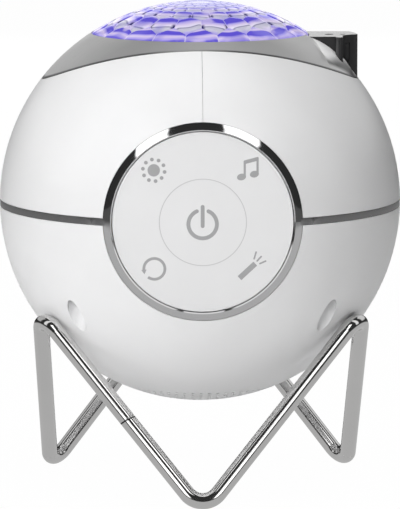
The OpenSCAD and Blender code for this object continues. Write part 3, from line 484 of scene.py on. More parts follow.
# %% [markdown]
# ## The finishes
# The record names a material slot for every piece, and this table holds the finishes of the hard
# ones. The white shells are satin, the panel is a touch duller, the bezel has a silver paint with
# fine flake, and the laser head is piano black. The inner pieces get the same care, because a
# section view or an exploded view shows them.

# %% Make the finishes
FINISH_TABLE = {
    # slot: colour, roughness, and what differs from the plain recipe
    "shell_white": ((0.80, 0.80, 0.805), 0.36, dict(coat=0.15, grain=2600, depth=12e-6)),
    "panel_white": ((0.77, 0.77, 0.775), 0.42, dict(grain=3200)),
    "chrome_trim": ((0.68, 0.68, 0.685), 0.06,
                    dict(metallic=1.0, grain=600, depth=0.4e-6, spread=0.04, marks=0.06)),
    "rod_steel": ((0.71, 0.705, 0.70), 0.08,
                  dict(metallic=1.0, grain=500, depth=0.8e-6, spread=0.05, marks=0.08)),
    "screw_steel": ((0.46, 0.46, 0.47), 0.32, dict(metallic=1.0, grain=6000, depth=6e-6)),
    "bezel_silver": ((0.60, 0.60, 0.60), 0.36, dict(metallic=0.25, grain=5200, depth=8e-6, drift=0.06)),
    "lip_grey": ((0.56, 0.56, 0.565), 0.5, dict(grain=2200)),
    "seal_rubber": ((0.03, 0.03, 0.032), 0.75, dict(grain=2200, depth=20e-6)),
    "head_black": ((0.020, 0.020, 0.021), 0.34, dict(coat=0.75, depth=1e-6, marks=0.1, spread=0.03)),
    "receiver_dark": ((0.05, 0.012, 0.016), 0.08, dict(coat=0.6, depth=1e-6)),
    "brass": ((0.62, 0.45, 0.20), 0.28, dict(metallic=1.0, grain=5000, depth=6e-6)),
    "chip_black": ((0.022, 0.022, 0.023), 0.48, dict(grain=4200, depth=14e-6)),
    "chamber_white": ((0.84, 0.84, 0.82), 0.5, dict(grain=2400, depth=16e-6)),
    "lamp_aluminium": ((0.78, 0.79, 0.80), 0.4, dict(depth=8e-6)),
    "led_yellow": ((0.82, 0.62, 0.12), 0.35, dict(coat=0.5, grain=5000, depth=8e-6)),
    "sink_aluminium": ((0.62, 0.63, 0.64), 0.34, dict(metallic=1.0, grain=4200, depth=12e-6)),
    "zinc_steel": ((0.50, 0.51, 0.53), 0.36, dict(metallic=1.0, grain=2600, clouds=120, drift=0.16)),
    "gear_plastic": ((0.80, 0.80, 0.74), 0.38, dict(grain=3600)),
    "deck_plastic": ((0.035, 0.035, 0.037), 0.55, dict(grain=1800, depth=30e-6)),
    "speaker_black": ((0.028, 0.028, 0.03), 0.85, dict(grain=1600, depth=60e-6, clouds=200, drift=0.3)),
    "magnet_grey": ((0.07, 0.07, 0.073), 0.6, dict(metallic=0.3, grain=2400, depth=30e-6)),
}
FINISHES = {name: hard_finish(name, colour, roughness, **changes)
            for name, (colour, roughness, changes) in FINISH_TABLE.items()}
print("finishes:", len(FINISHES))

# %% [markdown]
# Shade is painted into the recesses where it falls: the sound holes, the gap between the shells and the
# bezel, and the closing joint of the rod. The same step darkens all of them. It puts a darker tone
# between the recipe and the shader wherever a mask says so. The middle heights of the shells, with
# the chrome band and the screw wells, get no painted shade.

# %% Shade the gaps
# a near-black tone for the painted shade
PAINTED_SHADE_TONE = grey(0.02)
SHADE_STARTS = 0.15 * MM
SHADE_FULL = 0.45 * MM
UNSHADED_HALF_HEIGHT = 46 * MM
JOINT_HALF_WIDTH = (0.20 * MM, 0.30 * MM)
JOINT_REACH = 6 * MM
BEZEL_HALF = (58.9 * MM, 44.6 * MM, 1000.0)
BEZEL_EDGE = (0.986, 0.995)
BEZEL_SHADE = 0.8
FAINT_AT = -5 * MM
FAINT_WIDTH = (4 * MM, 16 * MM)
FAINT_SHARE = 0.15

dowel_points = [vertex.co for vertex in nodes["joint_dowel"].data.vertices]
joint_middle = sum(dowel_points, Vector()) / len(dowel_points)
far_end = max(dowel_points, key=lambda point: (point - joint_middle).length)
near_end = max(dowel_points, key=lambda point: (point - far_end).length)
rod_direction = (far_end - near_end).normalized()


def paint_over(tree, shader, share, colour, kind="MIX"):
    """Puts a second colour over the base colour of a finish."""
    below = shader.inputs["Base Color"].links[0].from_socket
    fill(tree, shader, Base_Color=blend_colours(tree, share, below, colour, kind))


def shade(material, mask_of):
    tree, shader, place = parts_of(material)
    paint_over(tree, shader, mask_of(tree, place), PAINTED_SHADE_TONE)


def weighted_sum(tree, place, weights, start=0.0):
    """The weighted sum of the three coordinates, with a start value."""
    return maths(tree, "ADD", vector_value(tree, "DOT_PRODUCT", place, weights), start)


def below_surface(tree, place):
    """1 a little under the ball's surface, apart from its middle heights, where shade is painted into the sound
    holes.
    """
    from_middle = vector_value(tree, "DISTANCE", place, tuple(ball_middle))
    deep = map_range(tree, from_middle, ball_radius - SHADE_FULL, ball_radius - SHADE_STARTS, 1.0, 0.0)
    off_equator = maths(tree, "ABSOLUTE", weighted_sum(tree, place, (0, 0, 1), -ball_middle.z))
    return product(tree, deep, maths(tree, "GREATER_THAN", off_equator, UNSHADED_HALF_HEIGHT))


def at_the_joint(tree, place):
    """1 in the thin slice of the closing joint, on that leg alone, where shade is painted."""
    along = weighted_sum(tree, place, tuple(rod_direction), -joint_middle.dot(rod_direction))
    thin = map_range(tree, maths(tree, "ABSOLUTE", along), *JOINT_HALF_WIDTH, 1.0, 0.0)
    from_joint = vector_value(tree, "DISTANCE", place, tuple(joint_middle))
    return product(tree, thin, maths(tree, "LESS_THAN", from_joint, JOINT_REACH))


def foot_of_bezel(tree, place):
    """Painted shade along the oval foot of the bezel, where its gap lies: full there, and faint in front."""
    plan = add_node(tree, "ShaderNodeVectorMath", {"operation": "DIVIDE"}, n0=place, n1=BEZEL_HALF)
    reach = vector_value(tree, "LENGTH", plan.outputs[0])
    foot = map_range(tree, reach, *BEZEL_EDGE, 0.0, BEZEL_SHADE)
    off_middle = maths(tree, "ABSOLUTE", weighted_sum(tree, place, (1, 0, 0), -FAINT_AT))
    return product(tree, foot, map_range(tree, off_middle, *FAINT_WIDTH, FAINT_SHARE, 1.0))


# painted shade in the sound holes and in the rod's closing joint
shade(FINISHES["shell_white"], below_surface)
shade(FINISHES["rod_steel"], at_the_joint)
print("joint of the rod at", [round(value / MM, 1) for value in joint_middle])

# %% [markdown]
# Light and shade are painted into the silver paint of the bezel. Painted shade makes it darker on the
# steep front and back than at the ends, and painted light makes it grow lighter towards the laser
# head. The hollow side of the swell under the head gets a painted reflection, nearly white at the top
# and dark at its foot. It lies between a crease and an outer edge, which are two straight lines in
# plan, and the back has the same swell as the front. The tones are painted in, because lamps that
# made them would also change the white shells.

# %% Paint light and shade on the bezel
STEEP_DEPTHS = (6 * MM, 34 * MM)
STEEP_SHADE_TONES = (0.98, 0.55)
SIDE_PLACES = (-10 * MM, 45 * MM)
SIDE_LIGHT_TONES = (1.0, 1.35)
CREASE = ((0.907, -0.42, 0), -33.08 * MM)
CREASE_FADE = (-0.35 * MM, 0.15 * MM)
OUTER_EDGE = ((-0.732, -0.683, 0), 48.16 * MM)
OUTER_FADE = (-2.9 * MM, -1.5 * MM)
DOWN_THE_SWELL = (0.845, 0.535, 0)
SWELL_PLACES = (48.8 * MM, 52.6 * MM)
SWELL_REFLECTION_TONES = (0.97, 0.09)
SWELL_ROUGHNESS = 0.3


def grey_of(tree, value):
    """A grey whose tone comes from a socket."""
    return add_node(tree, "ShaderNodeCombineColor", Red=value, Green=value, Blue=value).outputs[0]


# painted light and shade: darker on the steep front and back, lighter towards the laser head
def paint_light_and_shade(material):
    tree, shader, place = parts_of(material)
    off_axis = maths(tree, "ABSOLUTE", weighted_sum(tree, place, (0, 1, 0)))
    steep = map_range(tree, off_axis, *STEEP_DEPTHS, *STEEP_SHADE_TONES)
    side = map_range(tree, weighted_sum(tree, place, (1, 0, 0)), *SIDE_PLACES, *SIDE_LIGHT_TONES)
    paint_over(tree, shader, 1.0, grey_of(tree, product(tree, steep, side)), "MULTIPLY")


def swell_mask(tree, place, folded):
    right_side = maths(tree, "GREATER_THAN", weighted_sum(tree, place, (1, 0, 0)))
    beside_crease = map_range(tree, weighted_sum(tree, folded, *CREASE), *CREASE_FADE)
    inside_edge = map_range(tree, weighted_sum(tree, folded, *OUTER_EDGE), *OUTER_FADE)
    return product(tree, beside_crease, inside_edge, right_side)


# a painted reflection on the swell, nearly white at the top and dark at its foot, with a smoother gloss
def polish_swell_and_paint_reflection(material):
    tree, shader, place = parts_of(material)
    folded = add_node(tree, "ShaderNodeVectorMath", {"operation": "ABSOLUTE"}, n0=place).outputs[0]
    mask = swell_mask(tree, place, folded)
    down = weighted_sum(tree, folded, DOWN_THE_SWELL)
    tone = map_range(tree, down, *SWELL_PLACES, *SWELL_REFLECTION_TONES, smooth=True)
    paint_over(tree, shader, mask, grey_of(tree, tone))
    metallic = shader.inputs["Metallic"].default_value
    rough = shader.inputs["Roughness"].links[0].from_socket
    smoother = add_node(tree, "ShaderNodeMix", n0=mask, n2=rough, n3=SWELL_ROUGHNESS)
    fill(tree, shader, Roughness=smoother.outputs[0],
         Metallic=map_range(tree, mask, 0, 1, metallic, 0.0))


paint_light_and_shade(FINISHES["bezel_silver"])
polish_swell_and_paint_reflection(FINISHES["bezel_silver"])
shade(FINISHES["bezel_silver"], foot_of_bezel)
print("bezel painted")

# %% [markdown]
# Clear plastic is the same recipe with light passing through, and a circuit board shows its copper
# tracks as faint ridges under green lacquer. Both start from the recipe and change one thing.


# %% Clear plastics and the circuit boards
CLEARNESS = 0.9
PLASTIC_IOR = 1.49
TRACKS_PER_METRE = 120.0
TRACK_SHARE = 0.06
LACQUER_GREENS = ((0.012, 0.12, 0.05, 1), (0.02, 0.16, 0.07, 1))
COPPER_GREEN = (0.05, 0.24, 0.10, 1)


def clear_finish(name, colour, roughness, ripple=20e-6):
    material = hard_finish(name, colour, roughness, grain=900, depth=ripple, marks=0.05, spread=0.03)
    tree, shader = parts_of(material)[:2]
    fill(tree, shader, Transmission_Weight=CLEARNESS, IOR=PLASTIC_IOR)
    return material


def board_finish(name):
    material, tree, shader, point = start_material(name)
    surface = group_node(tree, GRAIN, Point=point, Grain_per_metre=2500.0, Clouds_per_metre=60.0)
    tracks = add_node(tree, "ShaderNodeTexBrick", Vector=point, Color1=grey(0), Color2=grey(0),
                      Mortar=grey(1), Scale=TRACKS_PER_METRE, Mortar_Size=TRACK_SHARE).outputs["Fac"]
    lacquer = blend_colours(tree, surface.outputs["Cloud"], *LACQUER_GREENS)
    fill(tree, shader, Base_Color=blend_colours(tree, tracks, lacquer, COPPER_GREEN),
         Roughness=map_range(tree, surface.outputs["Cloud"], 0, 1, 0.25, 0.4))
    add_bump(tree, shader, tracks, 30e-6)
    return material


FINISHES["window_glass"] = clear_finish("window_glass", (0.75, 0.85, 0.95), 0.05, ripple=1e-6)
FINISHES["grating_film"] = clear_finish("grating_film", (0.80, 0.82, 0.88), 0.12)
FINISHES["wheel_clear"] = clear_finish("wheel_clear", (0.85, 0.90, 1.0), 0.08, ripple=200e-6)
FINISHES["board_green"] = board_finish("board_green")
print("finishes:", len(FINISHES))

# %% [markdown]
# ## The lens finish
# The lamps inside fill every facet of the lens with violet light, and this light is painted on the lens
# as a glow. Each facet bends it into a stack of bands, and the bands lie level, as if they were drawn
# across the facet from side to side. The outer row and the inner rows have their own stack. A random
# number for each facet shifts its bands, so that no two facets are equal, and dark corners sit where
# three facets meet.

# %% Colours of the lens
LENS_PALE = (0.42, 0.36, 0.84, 1)
LENS_VIOLET = (0.12, 0.09, 0.66, 1)
LENS_TIP = (0.72, 0.62, 0.88, 1)
LENS_GREY = (0.22, 0.21, 0.36, 1)
LENS_CRESCENT = (0.56, 0.55, 0.68, 1)
LENS_DARK = (0.012, 0.008, 0.13, 1)
LENS_TOP = (0.52, 0.52, 0.84, 1)
LENS_EDGE = (0.80, 0.76, 0.95, 1)
LENS_GLOW = 0.82
LENS_UNLIT = grey(0.18)
OUTER_BANDS = [(0.00, LENS_VIOLET), (0.08, LENS_PALE), (0.24, LENS_TIP), (0.34, LENS_PALE),
               (0.40, LENS_VIOLET), (0.62, LENS_VIOLET), (0.70, LENS_TIP), (0.86, LENS_PALE)]
INNER_BANDS = [(0.00, LENS_PALE), (0.12, LENS_CRESCENT), (0.26, LENS_CRESCENT), (0.31, LENS_GREY),
               (0.36, LENS_EDGE), (0.46, LENS_TIP), (0.58, LENS_PALE), (0.64, LENS_VIOLET),
               (0.82, LENS_VIOLET), (0.92, LENS_PALE)]
print("bands:", len(OUTER_BANDS), len(INNER_BANDS))

# %% [markdown]
# Each facet's random numbers come from its row and its column. They could be stored on the faces,
# but the dome is one column repeated, so every copy would have the same ones. The column is found
# from the angle round the dome instead, and every second row is turned by half a column.

# %% Numbers for each facet
SCALES_ROUND = 20


def facet_numbers(tree, point, row):
    """Three random numbers for the facet that the point lies in."""
    flat = add_node(tree, "ShaderNodeSeparateXYZ", Vector=point).outputs
    angle = maths(tree, "ARCTAN2", flat[1], flat[0])
    turn = product(tree, angle, SCALES_ROUND / (2 * math.pi))
    odd = product(tree, maths(tree, "MODULO", row, 2.0), 0.5)
    column = maths(tree, "FLOOR", maths(tree, "ADD", maths(tree, "ADD", turn, 0.5), odd))
    number = add_node(tree, "ShaderNodeCombineXYZ", X=column, Y=row).outputs[0]
    chance = add_node(tree, "ShaderNodeTexWhiteNoise", {"noise_dimensions": "2D"}, Vector=number)
    return add_node(tree, "ShaderNodeSeparateColor", Color=chance.outputs["Color"]).outputs


def band(tree, value, start, full, fade, end):
    """1 between two values, with a soft start and a soft end."""
    rise = map_range(tree, value, start, full, smooth=True)
    return product(tree, rise, map_range(tree, value, fade, end, 1.0, 0.0, smooth=True))


def stack_of_bands(tree, value, bands):
    node = add_node(tree, "ShaderNodeValToRGB", Fac=value)
    stops = node.color_ramp.elements
    while len(stops) < len(bands):
        stops.new(0.5)
    for stop, (place, colour) in zip(stops, bands):
        stop.position = place
        stop.color = colour
    return node.outputs["Color"]


print("facets round:", SCALES_ROUND)

# %% [markdown]
# The layers of the painted glow go on one over the other: the bands, a violet cast, pale spots, dark
# corners inside the outer row, the bright edges of the facets, and a haze over the flat rows at the top.


# %% Make the lens finish
BAND_TILT = 0.25
BAND_SHIFT = 0.09
BAND_WANDER = 0.3


def banded(tree, point, level, across, row, chances):
    """The stack of bands, tilted and shifted by the facet's random numbers and a slow noise."""
    off_middle = maths(tree, "SUBTRACT", across, 0.5)
    slope = product(tree, off_middle, map_range(tree, chances[1], 0, 1, -BAND_TILT, BAND_TILT))
    wander = maths(tree, "SUBTRACT", noise(tree, point, 120.0, 0.0), 0.5)
    shift = maths(tree, "ADD", product(tree, wander, BAND_WANDER),
                  map_range(tree, chances[0], 0, 1, -BAND_SHIFT, BAND_SHIFT))
    height = maths(tree, "ADD", level, maths(tree, "ADD", shift, slope))
    return blend_colours(tree, maths(tree, "GREATER_THAN", row, 0.5),
                         stack_of_bands(tree, height, OUTER_BANDS),
                         stack_of_bands(tree, height, INNER_BANDS))


def dark_corners(tree, from_middle, level, row, chances):
    """1 where three facets meet, inside the outer row and on three facets out of four."""
    near_side = map_range(tree, from_middle, 0.34, 0.45)
    return product(tree, near_side, band(tree, level, 0.22, 0.28, 0.40, 0.54),
                   band(tree, row, 0.5, 0.6, 2.5, 5.0), maths(tree, "GREATER_THAN", chances[2], 0.25))


def lens_finish(name):
    material, tree, shader, point = start_material(name)
    across, up = uv_parts(tree, "facet")
    level = uv_parts(tree, "level")[0]
    row = add_node(tree, "ShaderNodeAttribute", {"attribute_name": "row"}).outputs["Fac"]
    from_middle = maths(tree, "ABSOLUTE", maths(tree, "SUBTRACT", across, 0.5))
    chances = facet_numbers(tree, point, row)
    edge = maths(tree, "MAXIMUM", map_range(tree, from_middle, 0.480, 0.495),
                 map_range(tree, up, 0.955, 0.985))

    colour = banded(tree, point, level, across, row, chances)
    for share, layer in (
            (map_range(tree, noise(tree, point, 95.0, 1.0), 0.48, 0.62, 0.0, 0.45), LENS_VIOLET),
            (map_range(tree, noise(tree, point, 160.0, 0.0), 0.62, 0.76, 0.0, 0.6), LENS_TIP),
            (dark_corners(tree, from_middle, level, row, chances), LENS_DARK),
            (product(tree, edge, 0.6), LENS_EDGE),
            (map_range(tree, row, 1.5, 5.5, 0.0, 0.75), LENS_TOP)):
        colour = blend_colours(tree, share, colour, layer)

    dim = blend_colours(tree, 1.0, colour, LENS_UNLIT, "MULTIPLY")
    surface = group_node(tree, GRAIN, Point=point, Grain_per_metre=1800.0)
    rough = map_range(tree, surface.outputs["Cloud"], 0, 1, 0.10, 0.16)
    # the painted glow stands in for the light of the lamps inside
    fill(tree, shader, Base_Color=dim, Emission_Color=colour, Emission_Strength=LENS_GLOW,
         Roughness=rough, IOR=PLASTIC_IOR, Coat_Weight=0.3)
    add_bump(tree, shader, surface.outputs["Height"], 4e-6)
    return material


FINISHES["lens_clear"] = lens_finish("lens_clear")
print("lens finish ready")

# %% [markdown]
# ## Dress the CAD pieces
# The record says which slot each piece takes, so one loop gives every piece its finish. The pieces
# themselves aren't touched.


# %% Assign the finishes
def dress(piece, material):
    if piece.material_slots:
        for place in piece.material_slots:
            place.material = material
    else:
        piece.data.materials.append(material)


for subpart in frame["record"]["subparts"]:
    dress(nodes[subpart["node"]], FINISHES[subpart["material_slot"]])

# %% [markdown]
# ## Repeating round an axis with Geometry Nodes
# The lens has the same column of facets twenty times round, and one of the signs has a ring of
# dots. Both are one small mesh repeated round an axis, so one Geometry Nodes tree serves both: it
# puts a point for each copy, turns an instance at each point, makes the copies real, joins what
# touches and sets the material.


# %% Build the repeating tree
JOINING_DISTANCE = 2e-6


def build_round_copies():
    group = bpy.data.node_groups.new("copies_round_an_axis", "GeometryNodeTree")
    for label, kind in (("Geometry", "NodeSocketGeometry"), ("Copies", "NodeSocketInt"),
                        ("Axis", "NodeSocketVector"), ("Material", "NodeSocketMaterial")):
        group.interface.new_socket(label, in_out="INPUT", socket_type=kind)
    group.interface.new_socket("Geometry", in_out="OUTPUT", socket_type="NodeSocketGeometry")
    given = group.nodes.new("NodeGroupInput").outputs
    result = group.nodes.new("NodeGroupOutput")
    number = group.nodes.new("GeometryNodeInputIndex").outputs[0]
    angle = product(group, number, maths(group, "DIVIDE", 2 * math.pi, given["Copies"]))
    turn = add_node(group, "FunctionNodeAxisAngleToRotation", Axis=given["Axis"], Angle=angle)
    points = add_node(group, "GeometryNodePoints", Count=given["Copies"])
    copies = add_node(group, "GeometryNodeInstanceOnPoints", Points=points.outputs[0],
                      Instance=given["Geometry"], Rotation=turn.outputs[0])
    real = add_node(group, "GeometryNodeRealizeInstances", Geometry=copies.outputs[0])
    joined = add_node(group, "GeometryNodeMergeByDistance", Geometry=real.outputs[0],
                      Distance=JOINING_DISTANCE)
    painted = add_node(group, "GeometryNodeSetMaterial", Geometry=joined.outputs[0],
                       Material=given["Material"])
    group.links.new(painted.outputs[0], result.inputs[0])
    return group


ROUND_COPIES = build_round_copies()


def keep_result(piece, modifier):
    """Turns what the modifier makes into the piece's own plain mesh."""
    bpy.context.view_layer.update()
    graph = bpy.context.evaluated_depsgraph_get()
    mesh = bpy.data.meshes.new_from_object(piece.evaluated_get(graph))
    piece.modifiers.remove(modifier)
    piece.data = mesh


def apply_tree(piece, group, **values):
    """Runs a Geometry Nodes tree on a piece."""
    modifier = piece.modifiers.new(group.name, "NODES")
    modifier.node_group = group
    for item in group.interface.items_tree:
        if item.in_out == "INPUT" and item.name in values:
            modifier[item.identifier] = values[item.name]
    keep_result(piece, modifier)


print("tree ready:", ROUND_COPIES.name)

# %% [markdown]
# ## The faceted lens
# The lens is a dome with rows of six-sided scales. The rows are staggered, so the lower tip of a
# scale sits between two scales of the row outside it. One column holds one scale of each row. A
# scale is a small grid that bulges between four sides, which leaves a groove all round it. The
# grid also gives the UV map that the lens finish is drawn on.

# %% Measures of the lens
ROW_LEVELS = [1, 0.843, 0.617, 0.464, 0.352, 0.262, 0.195, 0.145]
ROWS = len(ROW_LEVELS) - 1
STEPS_ACROSS = 12
STEPS_UP = 10
HALF_STEP = math.pi / SCALES_ROUND
TOWARDS_FRONT = -math.pi / 2
GROOVE_DEPTH = 0.45 * MM
GROOVE_POWER = 12
BELOW_BALL = 0.03 * MM
TIP_REACH = 2.15 * MM
TIP_SHRINK = 0.6


def round_point(x, y, reach, angle):
    return (x + reach * math.cos(angle), y + reach * math.sin(angle))


def on_dome(plan_radius, angle, depth):
    """Point that deep in the ball, on the line from its middle to that plan radius and angle."""
    height = math.sqrt(ball_radius ** 2 - plan_radius ** 2)
    surface_point = Vector((*round_point(0, 0, plan_radius, angle), height))
    return ball_middle + surface_point * (1 - depth / ball_radius)


def row_radius(row, column_half):
    """Plan radius of a row boundary: whole columns lie outwards, half columns inwards, in turn."""
    tip = 0 if row == 0 else TIP_REACH * TIP_SHRINK ** (row - 1)
    outwards = 1 if (column_half + row) % 2 == 0 else -1
    return lens_radius * ROW_LEVELS[row] + outwards * tip


def boundary(row, middle, side):
    """Plan radius of a row boundary at a share of the way from the middle of a scale to its side."""
    near = abs(side)
    return row_radius(row, middle) * (1 - near) + row_radius(row, middle + 1) * near


print("rows of scales:", ROWS)

# %% [markdown]
# The grid of one scale runs between two row boundaries. The depth is nothing over most of the
# scale and falls quickly to the groove at its sides, so the groove needs no mesh of its own.

# %% Shape one column of the lens
def scale_grid(row):
    """Vertices, faces and UVs of the scale of one row in the first column."""
    middle = row % 2
    foot, top = row_radius(row, middle), row_radius(row + 1, middle)
    uvs, faces = grid(STEPS_ACROSS, STEPS_UP)
    points, levels = [], []
    for across, up in uvs:
        side = 2 * across - 1
        plan = boundary(row, middle, side) * (1 - up) + boundary(row + 1, middle, side) * up
        swell = (1 - abs(side) ** GROOVE_POWER) * (1 - abs(2 * up - 1) ** GROOVE_POWER)
        angle = TOWARDS_FRONT + HALF_STEP * (middle + side)
        points.append(on_dome(plan, angle, BELOW_BALL + GROOVE_DEPTH * (1 - swell)))
        levels.append(((foot - plan) / (foot - top), 0))
    return points, faces, uvs, levels


column_points, column_faces, column_uvs, column_levels, face_rows = [], [], [], [], []


def add_to_column(row, points, faces, uvs, levels):
    """Adds a part to the column. Its faces count from the points that are there already."""
    start = len(column_points)
    column_points.extend(points)
    column_uvs.extend(uvs)
    column_levels.extend(levels)
    column_faces.extend(tuple(start + index for index in face) for face in faces)
    face_rows.extend([row] * len(faces))


for row in range(ROWS):
    add_to_column(row, *scale_grid(row))
print("points in one column:", len(column_points))

# %% [markdown]
# A small cap closes the top of the dome, and a skirt goes down from the rim into the seat in the
# bezel, so the lens is a shell with an inside. The column becomes a mesh with two UV maps, one
# across and up each facet and one for its level bands. A number on each face says its row. The
# tree then repeats the column twenty times.

# %% Make the lens
LENS_WALL = 3.0 * MM
CAP_DEPTH = 0.1 * MM
PLAIN_UV = (0.5, 0.35)
PLAIN_LEVEL = (0.2, 0)


def rim_strip():
    """One column's share of the skirt, from the rim down to the seat and back up inside."""
    seat_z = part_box("dome_lens")[0].z
    inner_radius = lens_radius - LENS_WALL
    inner_z = ball_middle.z + math.sqrt((ball_radius - LENS_WALL) ** 2 - inner_radius ** 2)
    points = []
    for i in range(STEPS_ACROSS + 1):
        angle = TOWARDS_FRONT + HALF_STEP * (2 * i / STEPS_ACROSS - 1)
        points.append(on_dome(lens_radius, angle, BELOW_BALL + GROOVE_DEPTH))
        for reach, z in ((lens_radius, seat_z), (inner_radius, seat_z), (inner_radius, inner_z)):
            points.append((*round_point(ball_middle.x, ball_middle.y, reach, angle), z))
    faces = [(first, first + 1, first + 5, first + 4)
             for i in range(STEPS_ACROSS) for first in range(4 * i, 4 * i + 3)]
    return points, faces


def cap_slice():
    """One column's share of the cap, from the last row to the top of the dome."""
    middle = (ROWS - 1) % 2
    points = [on_dome(0, 0, CAP_DEPTH)]
    for i in range(STEPS_ACROSS + 1):
        side = 2 * i / STEPS_ACROSS - 1
        angle = TOWARDS_FRONT + HALF_STEP * (middle + side)
        points.append(on_dome(boundary(ROWS, middle, side), angle, BELOW_BALL + GROOVE_DEPTH))
    return points, [(0, i + 1, i + 2) for i in range(STEPS_ACROSS)]


for row, (points, faces) in ((0, rim_strip()), (ROWS, cap_slice())):
    add_to_column(row, points, faces, [PLAIN_UV] * len(points), [PLAIN_LEVEL] * len(points))

lens = new_piece("faceted_lens", column_points, column_faces)
add_uvs(lens.data, "facet", column_uvs)
add_uvs(lens.data, "level", column_levels)
row_numbers = lens.data.attributes.new("row", "FLOAT", "FACE")
for face, row in enumerate(face_rows):
    row_numbers.data[face].value = row
# the tree turns about the origin, so the column is moved there and back
lens.data.transform(Matrix.Translation(-ball_middle))
apply_tree(lens, ROUND_COPIES, Copies=SCALES_ROUND, Axis=(0, 0, 1), Material=FINISHES["lens_clear"])
lens.data.transform(Matrix.Translation(ball_middle))
for polygon in lens.data.polygons:
    polygon.use_smooth = True
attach(lens, "ball")
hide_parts("dome_lens")
print("lens faces:", len(lens.data.polygons))

# %% [markdown]
# ## The printed signs
# The five signs are printed on the panel: power on the button, and light, music, turning and laser
# on the function plate. Each sign is first drawn flat, as a few simple outlines.

# %% Outlines of the signs
SIGN_INK = 0.04 * MM


def disc(x, y, radius, count=40):
    return [round_point(x, y, radius, 2 * math.pi * i / count) for i in range(count)]


def bar(x0, y0, x1, y1, width, end_steps=1):
    """Bar with square ends, or with round ones if they have more steps."""
    along = math.atan2(y1 - y0, x1 - x0)
    return [round_point(x, y, width / 2, start + math.pi * i / end_steps)
            for x, y, start in ((x1, y1, along - math.pi / 2), (x0, y0, along + math.pi / 2))
            for i in range(end_steps + 1)]


def ring_band(x, y, radius, width, start, end, count=48):
    """Part of a ring as a strip of quads, from the start angle to the end angle in degrees."""
    quads = []
    for i in range(count):
        here, there = [math.radians(start + (end - start) * step / count) for step in (i, i + 1)]
        inner, outer = radius - width / 2, radius + width / 2
        quads.append([round_point(x, y, reach, angle) for reach, angle in
                      ((inner, here), (outer, here), (outer, there), (inner, there))])
    return quads


def oval(x, y, half_long, half_short, tilt, count=28):
    points = []
    for i in range(count):
        angle = 2 * math.pi * i / count
        u, v = half_long * math.cos(angle), half_short * math.sin(angle)
        points.append((x + u * math.cos(tilt) - v * math.sin(tilt),
                       y + u * math.sin(tilt) + v * math.cos(tilt)))
    return points


print("outline helpers ready")

# %% [markdown]
# The places of the signs are in millimetres from the middle of the panel, x to the right and y up.

# %% Draw the signs
SUN_X, SUN_Y = -17.75, 18.95
POWER_X, POWER_Y = -0.1, -0.6
POWER_RADIUS = 5.15
POWER_GAP = 24
POWER_LINE = 1.4

power_sign = ring_band(POWER_X, POWER_Y, POWER_RADIUS, POWER_LINE, 90 + POWER_GAP, 450 - POWER_GAP)
for end in (math.radians(90 + POWER_GAP), math.radians(90 - POWER_GAP)):
    power_sign.append(disc(*round_point(POWER_X, POWER_Y, POWER_RADIUS, end), POWER_LINE / 2, 16))
power_sign.append(bar(POWER_X, -1.3, POWER_X, 5.7, POWER_LINE, 8))
PLATE_SIGNS = {
    "light_sign": [disc(SUN_X, SUN_Y, 2.24)],
    "music_sign": [bar(15.1, 16.65, 15.1, 21.75, 0.8), bar(19.75, 17.65, 19.75, 23.3, 0.8),
                   [(14.7, 21.05), (20.15, 22.45), (20.15, 23.45),
                    (19.85, 23.75), (14.95, 22.47), (14.7, 22.2)],
                   oval(13.95, 16.5, 1.65, 1.2, 0.2), oval(18.6, 17.5, 1.65, 1.2, 0.2)],
    "turn_sign": ring_band(-17.57, -16.94, 3.81, 1.0, -127, 186) + [
        [(-22.3, -17.4), (-21.15, -18.95), (-20.4, -17.2)]],
    "laser_sign": [bar(13.25, -20.4, 18.95, -15.1, 2.0), bar(18.55, -13.3, 19.25, -10.9, 0.6, 8),
                   bar(19.65, -14.1, 21.1, -12.5, 0.6, 8), bar(20.65, -15.1, 22.7, -14.2, 0.6, 8)],
}
print("outlines on the plate:", sum(len(outlines) for outlines in PLATE_SIGNS.values()))

# %% [markdown]
# A ray goes straight back from every point of a sign until it meets the plastic, so the sign
# follows the dome of the panel and keeps its drawn shape from the front. A modifier then gives it
# the thickness of ink.

# %% Lay the signs on the panel
BACKWARDS = Vector((0, 1, 0))


def surface_finder(node):
    mesh = nodes[node].data
    return BVHTree.FromPolygons([vertex.co for vertex in mesh.vertices],
                                [tuple(polygon.vertices) for polygon in mesh.polygons])


def lay_on(piece, node):
    """Moves every point straight back on to the node's front, and gives the ink its thickness."""
    finder = surface_finder(node)
    for vertex in piece.data.vertices:
        hit = finder.ray_cast(Vector((vertex.co.x, -1, vertex.co.z)), BACKWARDS)[0]
        vertex.co.y = hit.y - SIGN_INK / 2
    solid = piece.modifiers.new("ink", "SOLIDIFY")
    solid.thickness = SIGN_INK
    solid.offset = 0
    keep_result(piece, solid)


def print_sign(name, outlines, node, body):
    points, faces = [], []
    for outline in outlines:
        start = len(points)
        points += [ball_middle + Vector((x * MM, 0, y * MM)) for x, y in outline]
        faces.append(tuple(range(start, len(points))))
    piece = new_piece(name, points, faces)
    piece.data.materials.append(INK)
    lay_on(piece, node)
    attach(piece, body)


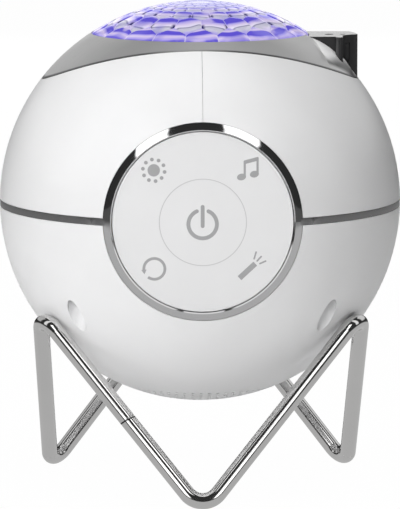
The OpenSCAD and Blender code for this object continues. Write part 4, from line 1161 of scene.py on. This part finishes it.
INK = hard_finish("sign_ink", (0.37, 0.37, 0.375), 0.5, grain=6000, depth=4e-6, drift=0.1)
print_sign("power_sign", power_sign, "power_button", "power_button")
for name, outlines in PLATE_SIGNS.items():
    print_sign(name, outlines, "function_plate", "function_plate")
print("signs ready")

# %% [markdown]
# The light sign has a ring of ten dots round its disc. They are one dot, repeated by the same tree
# that made the lens, this time about the axis that points out of the panel.

# %% Ring of dots
DOT_COUNT = 10
DOT_REACH = 3.95
DOT_RADIUS = 0.68
FIRST_DOT = math.radians(9.7)

dot_points = [Vector((x * MM, 0, y * MM)) for x, y in disc(0, DOT_REACH, DOT_RADIUS, 20)]
dots = new_piece("light_sign_dots", dot_points, [tuple(range(len(dot_points)))])
apply_tree(dots, ROUND_COPIES, Copies=DOT_COUNT, Axis=(0, -1, 0), Material=INK)
sun_middle = ball_middle + Vector((SUN_X * MM, 0, SUN_Y * MM))
dots.data.transform(Matrix.Translation(sun_middle) @ Matrix.Rotation(-FIRST_DOT, 4, "Y"))
lay_on(dots, "function_plate")
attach(dots, "function_plate")
print("dots ready")

# %% [markdown]
# A soft grey lip closes the ring gap round the power button, a hair under the surface. The gap
# runs at one height of the dome, so a flat ring will do, and it stays with the function plate.

# %% Lip round the power button
LIP_DEPTH = 0.10 * MM
LIP_STEPS = 96
GAP_WIDTH = 0.3 * MM
INNER_CLEARANCE = 0.01 * MM
OUTER_OVERLAP = 0.02 * MM

button_radius = half_width("power_button")
gap_radius = button_radius + GAP_WIDTH
beside_gap = ball_middle + Vector((gap_radius + 0.3 * MM, -1, 0))
plate_edge = surface_finder("function_plate").ray_cast(beside_gap, BACKWARDS)[0]
lip_points, lip_faces = [], []
for i in range(LIP_STEPS):
    angle = 2 * math.pi * i / LIP_STEPS
    for reach in (button_radius + INNER_CLEARANCE, gap_radius + OUTER_OVERLAP):
        x, z = round_point(ball_middle.x, ball_middle.z, reach, angle)
        lip_points.append((x, plate_edge.y + LIP_DEPTH, z))
    after = 2 * ((i + 1) % LIP_STEPS)
    lip_faces.append((2 * i, 2 * i + 1, after + 1, after))
lip = new_piece("button_lip", lip_points, lip_faces)
dress(lip, FINISHES["lip_grey"])
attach(lip, "function_plate")
print("lip ready")
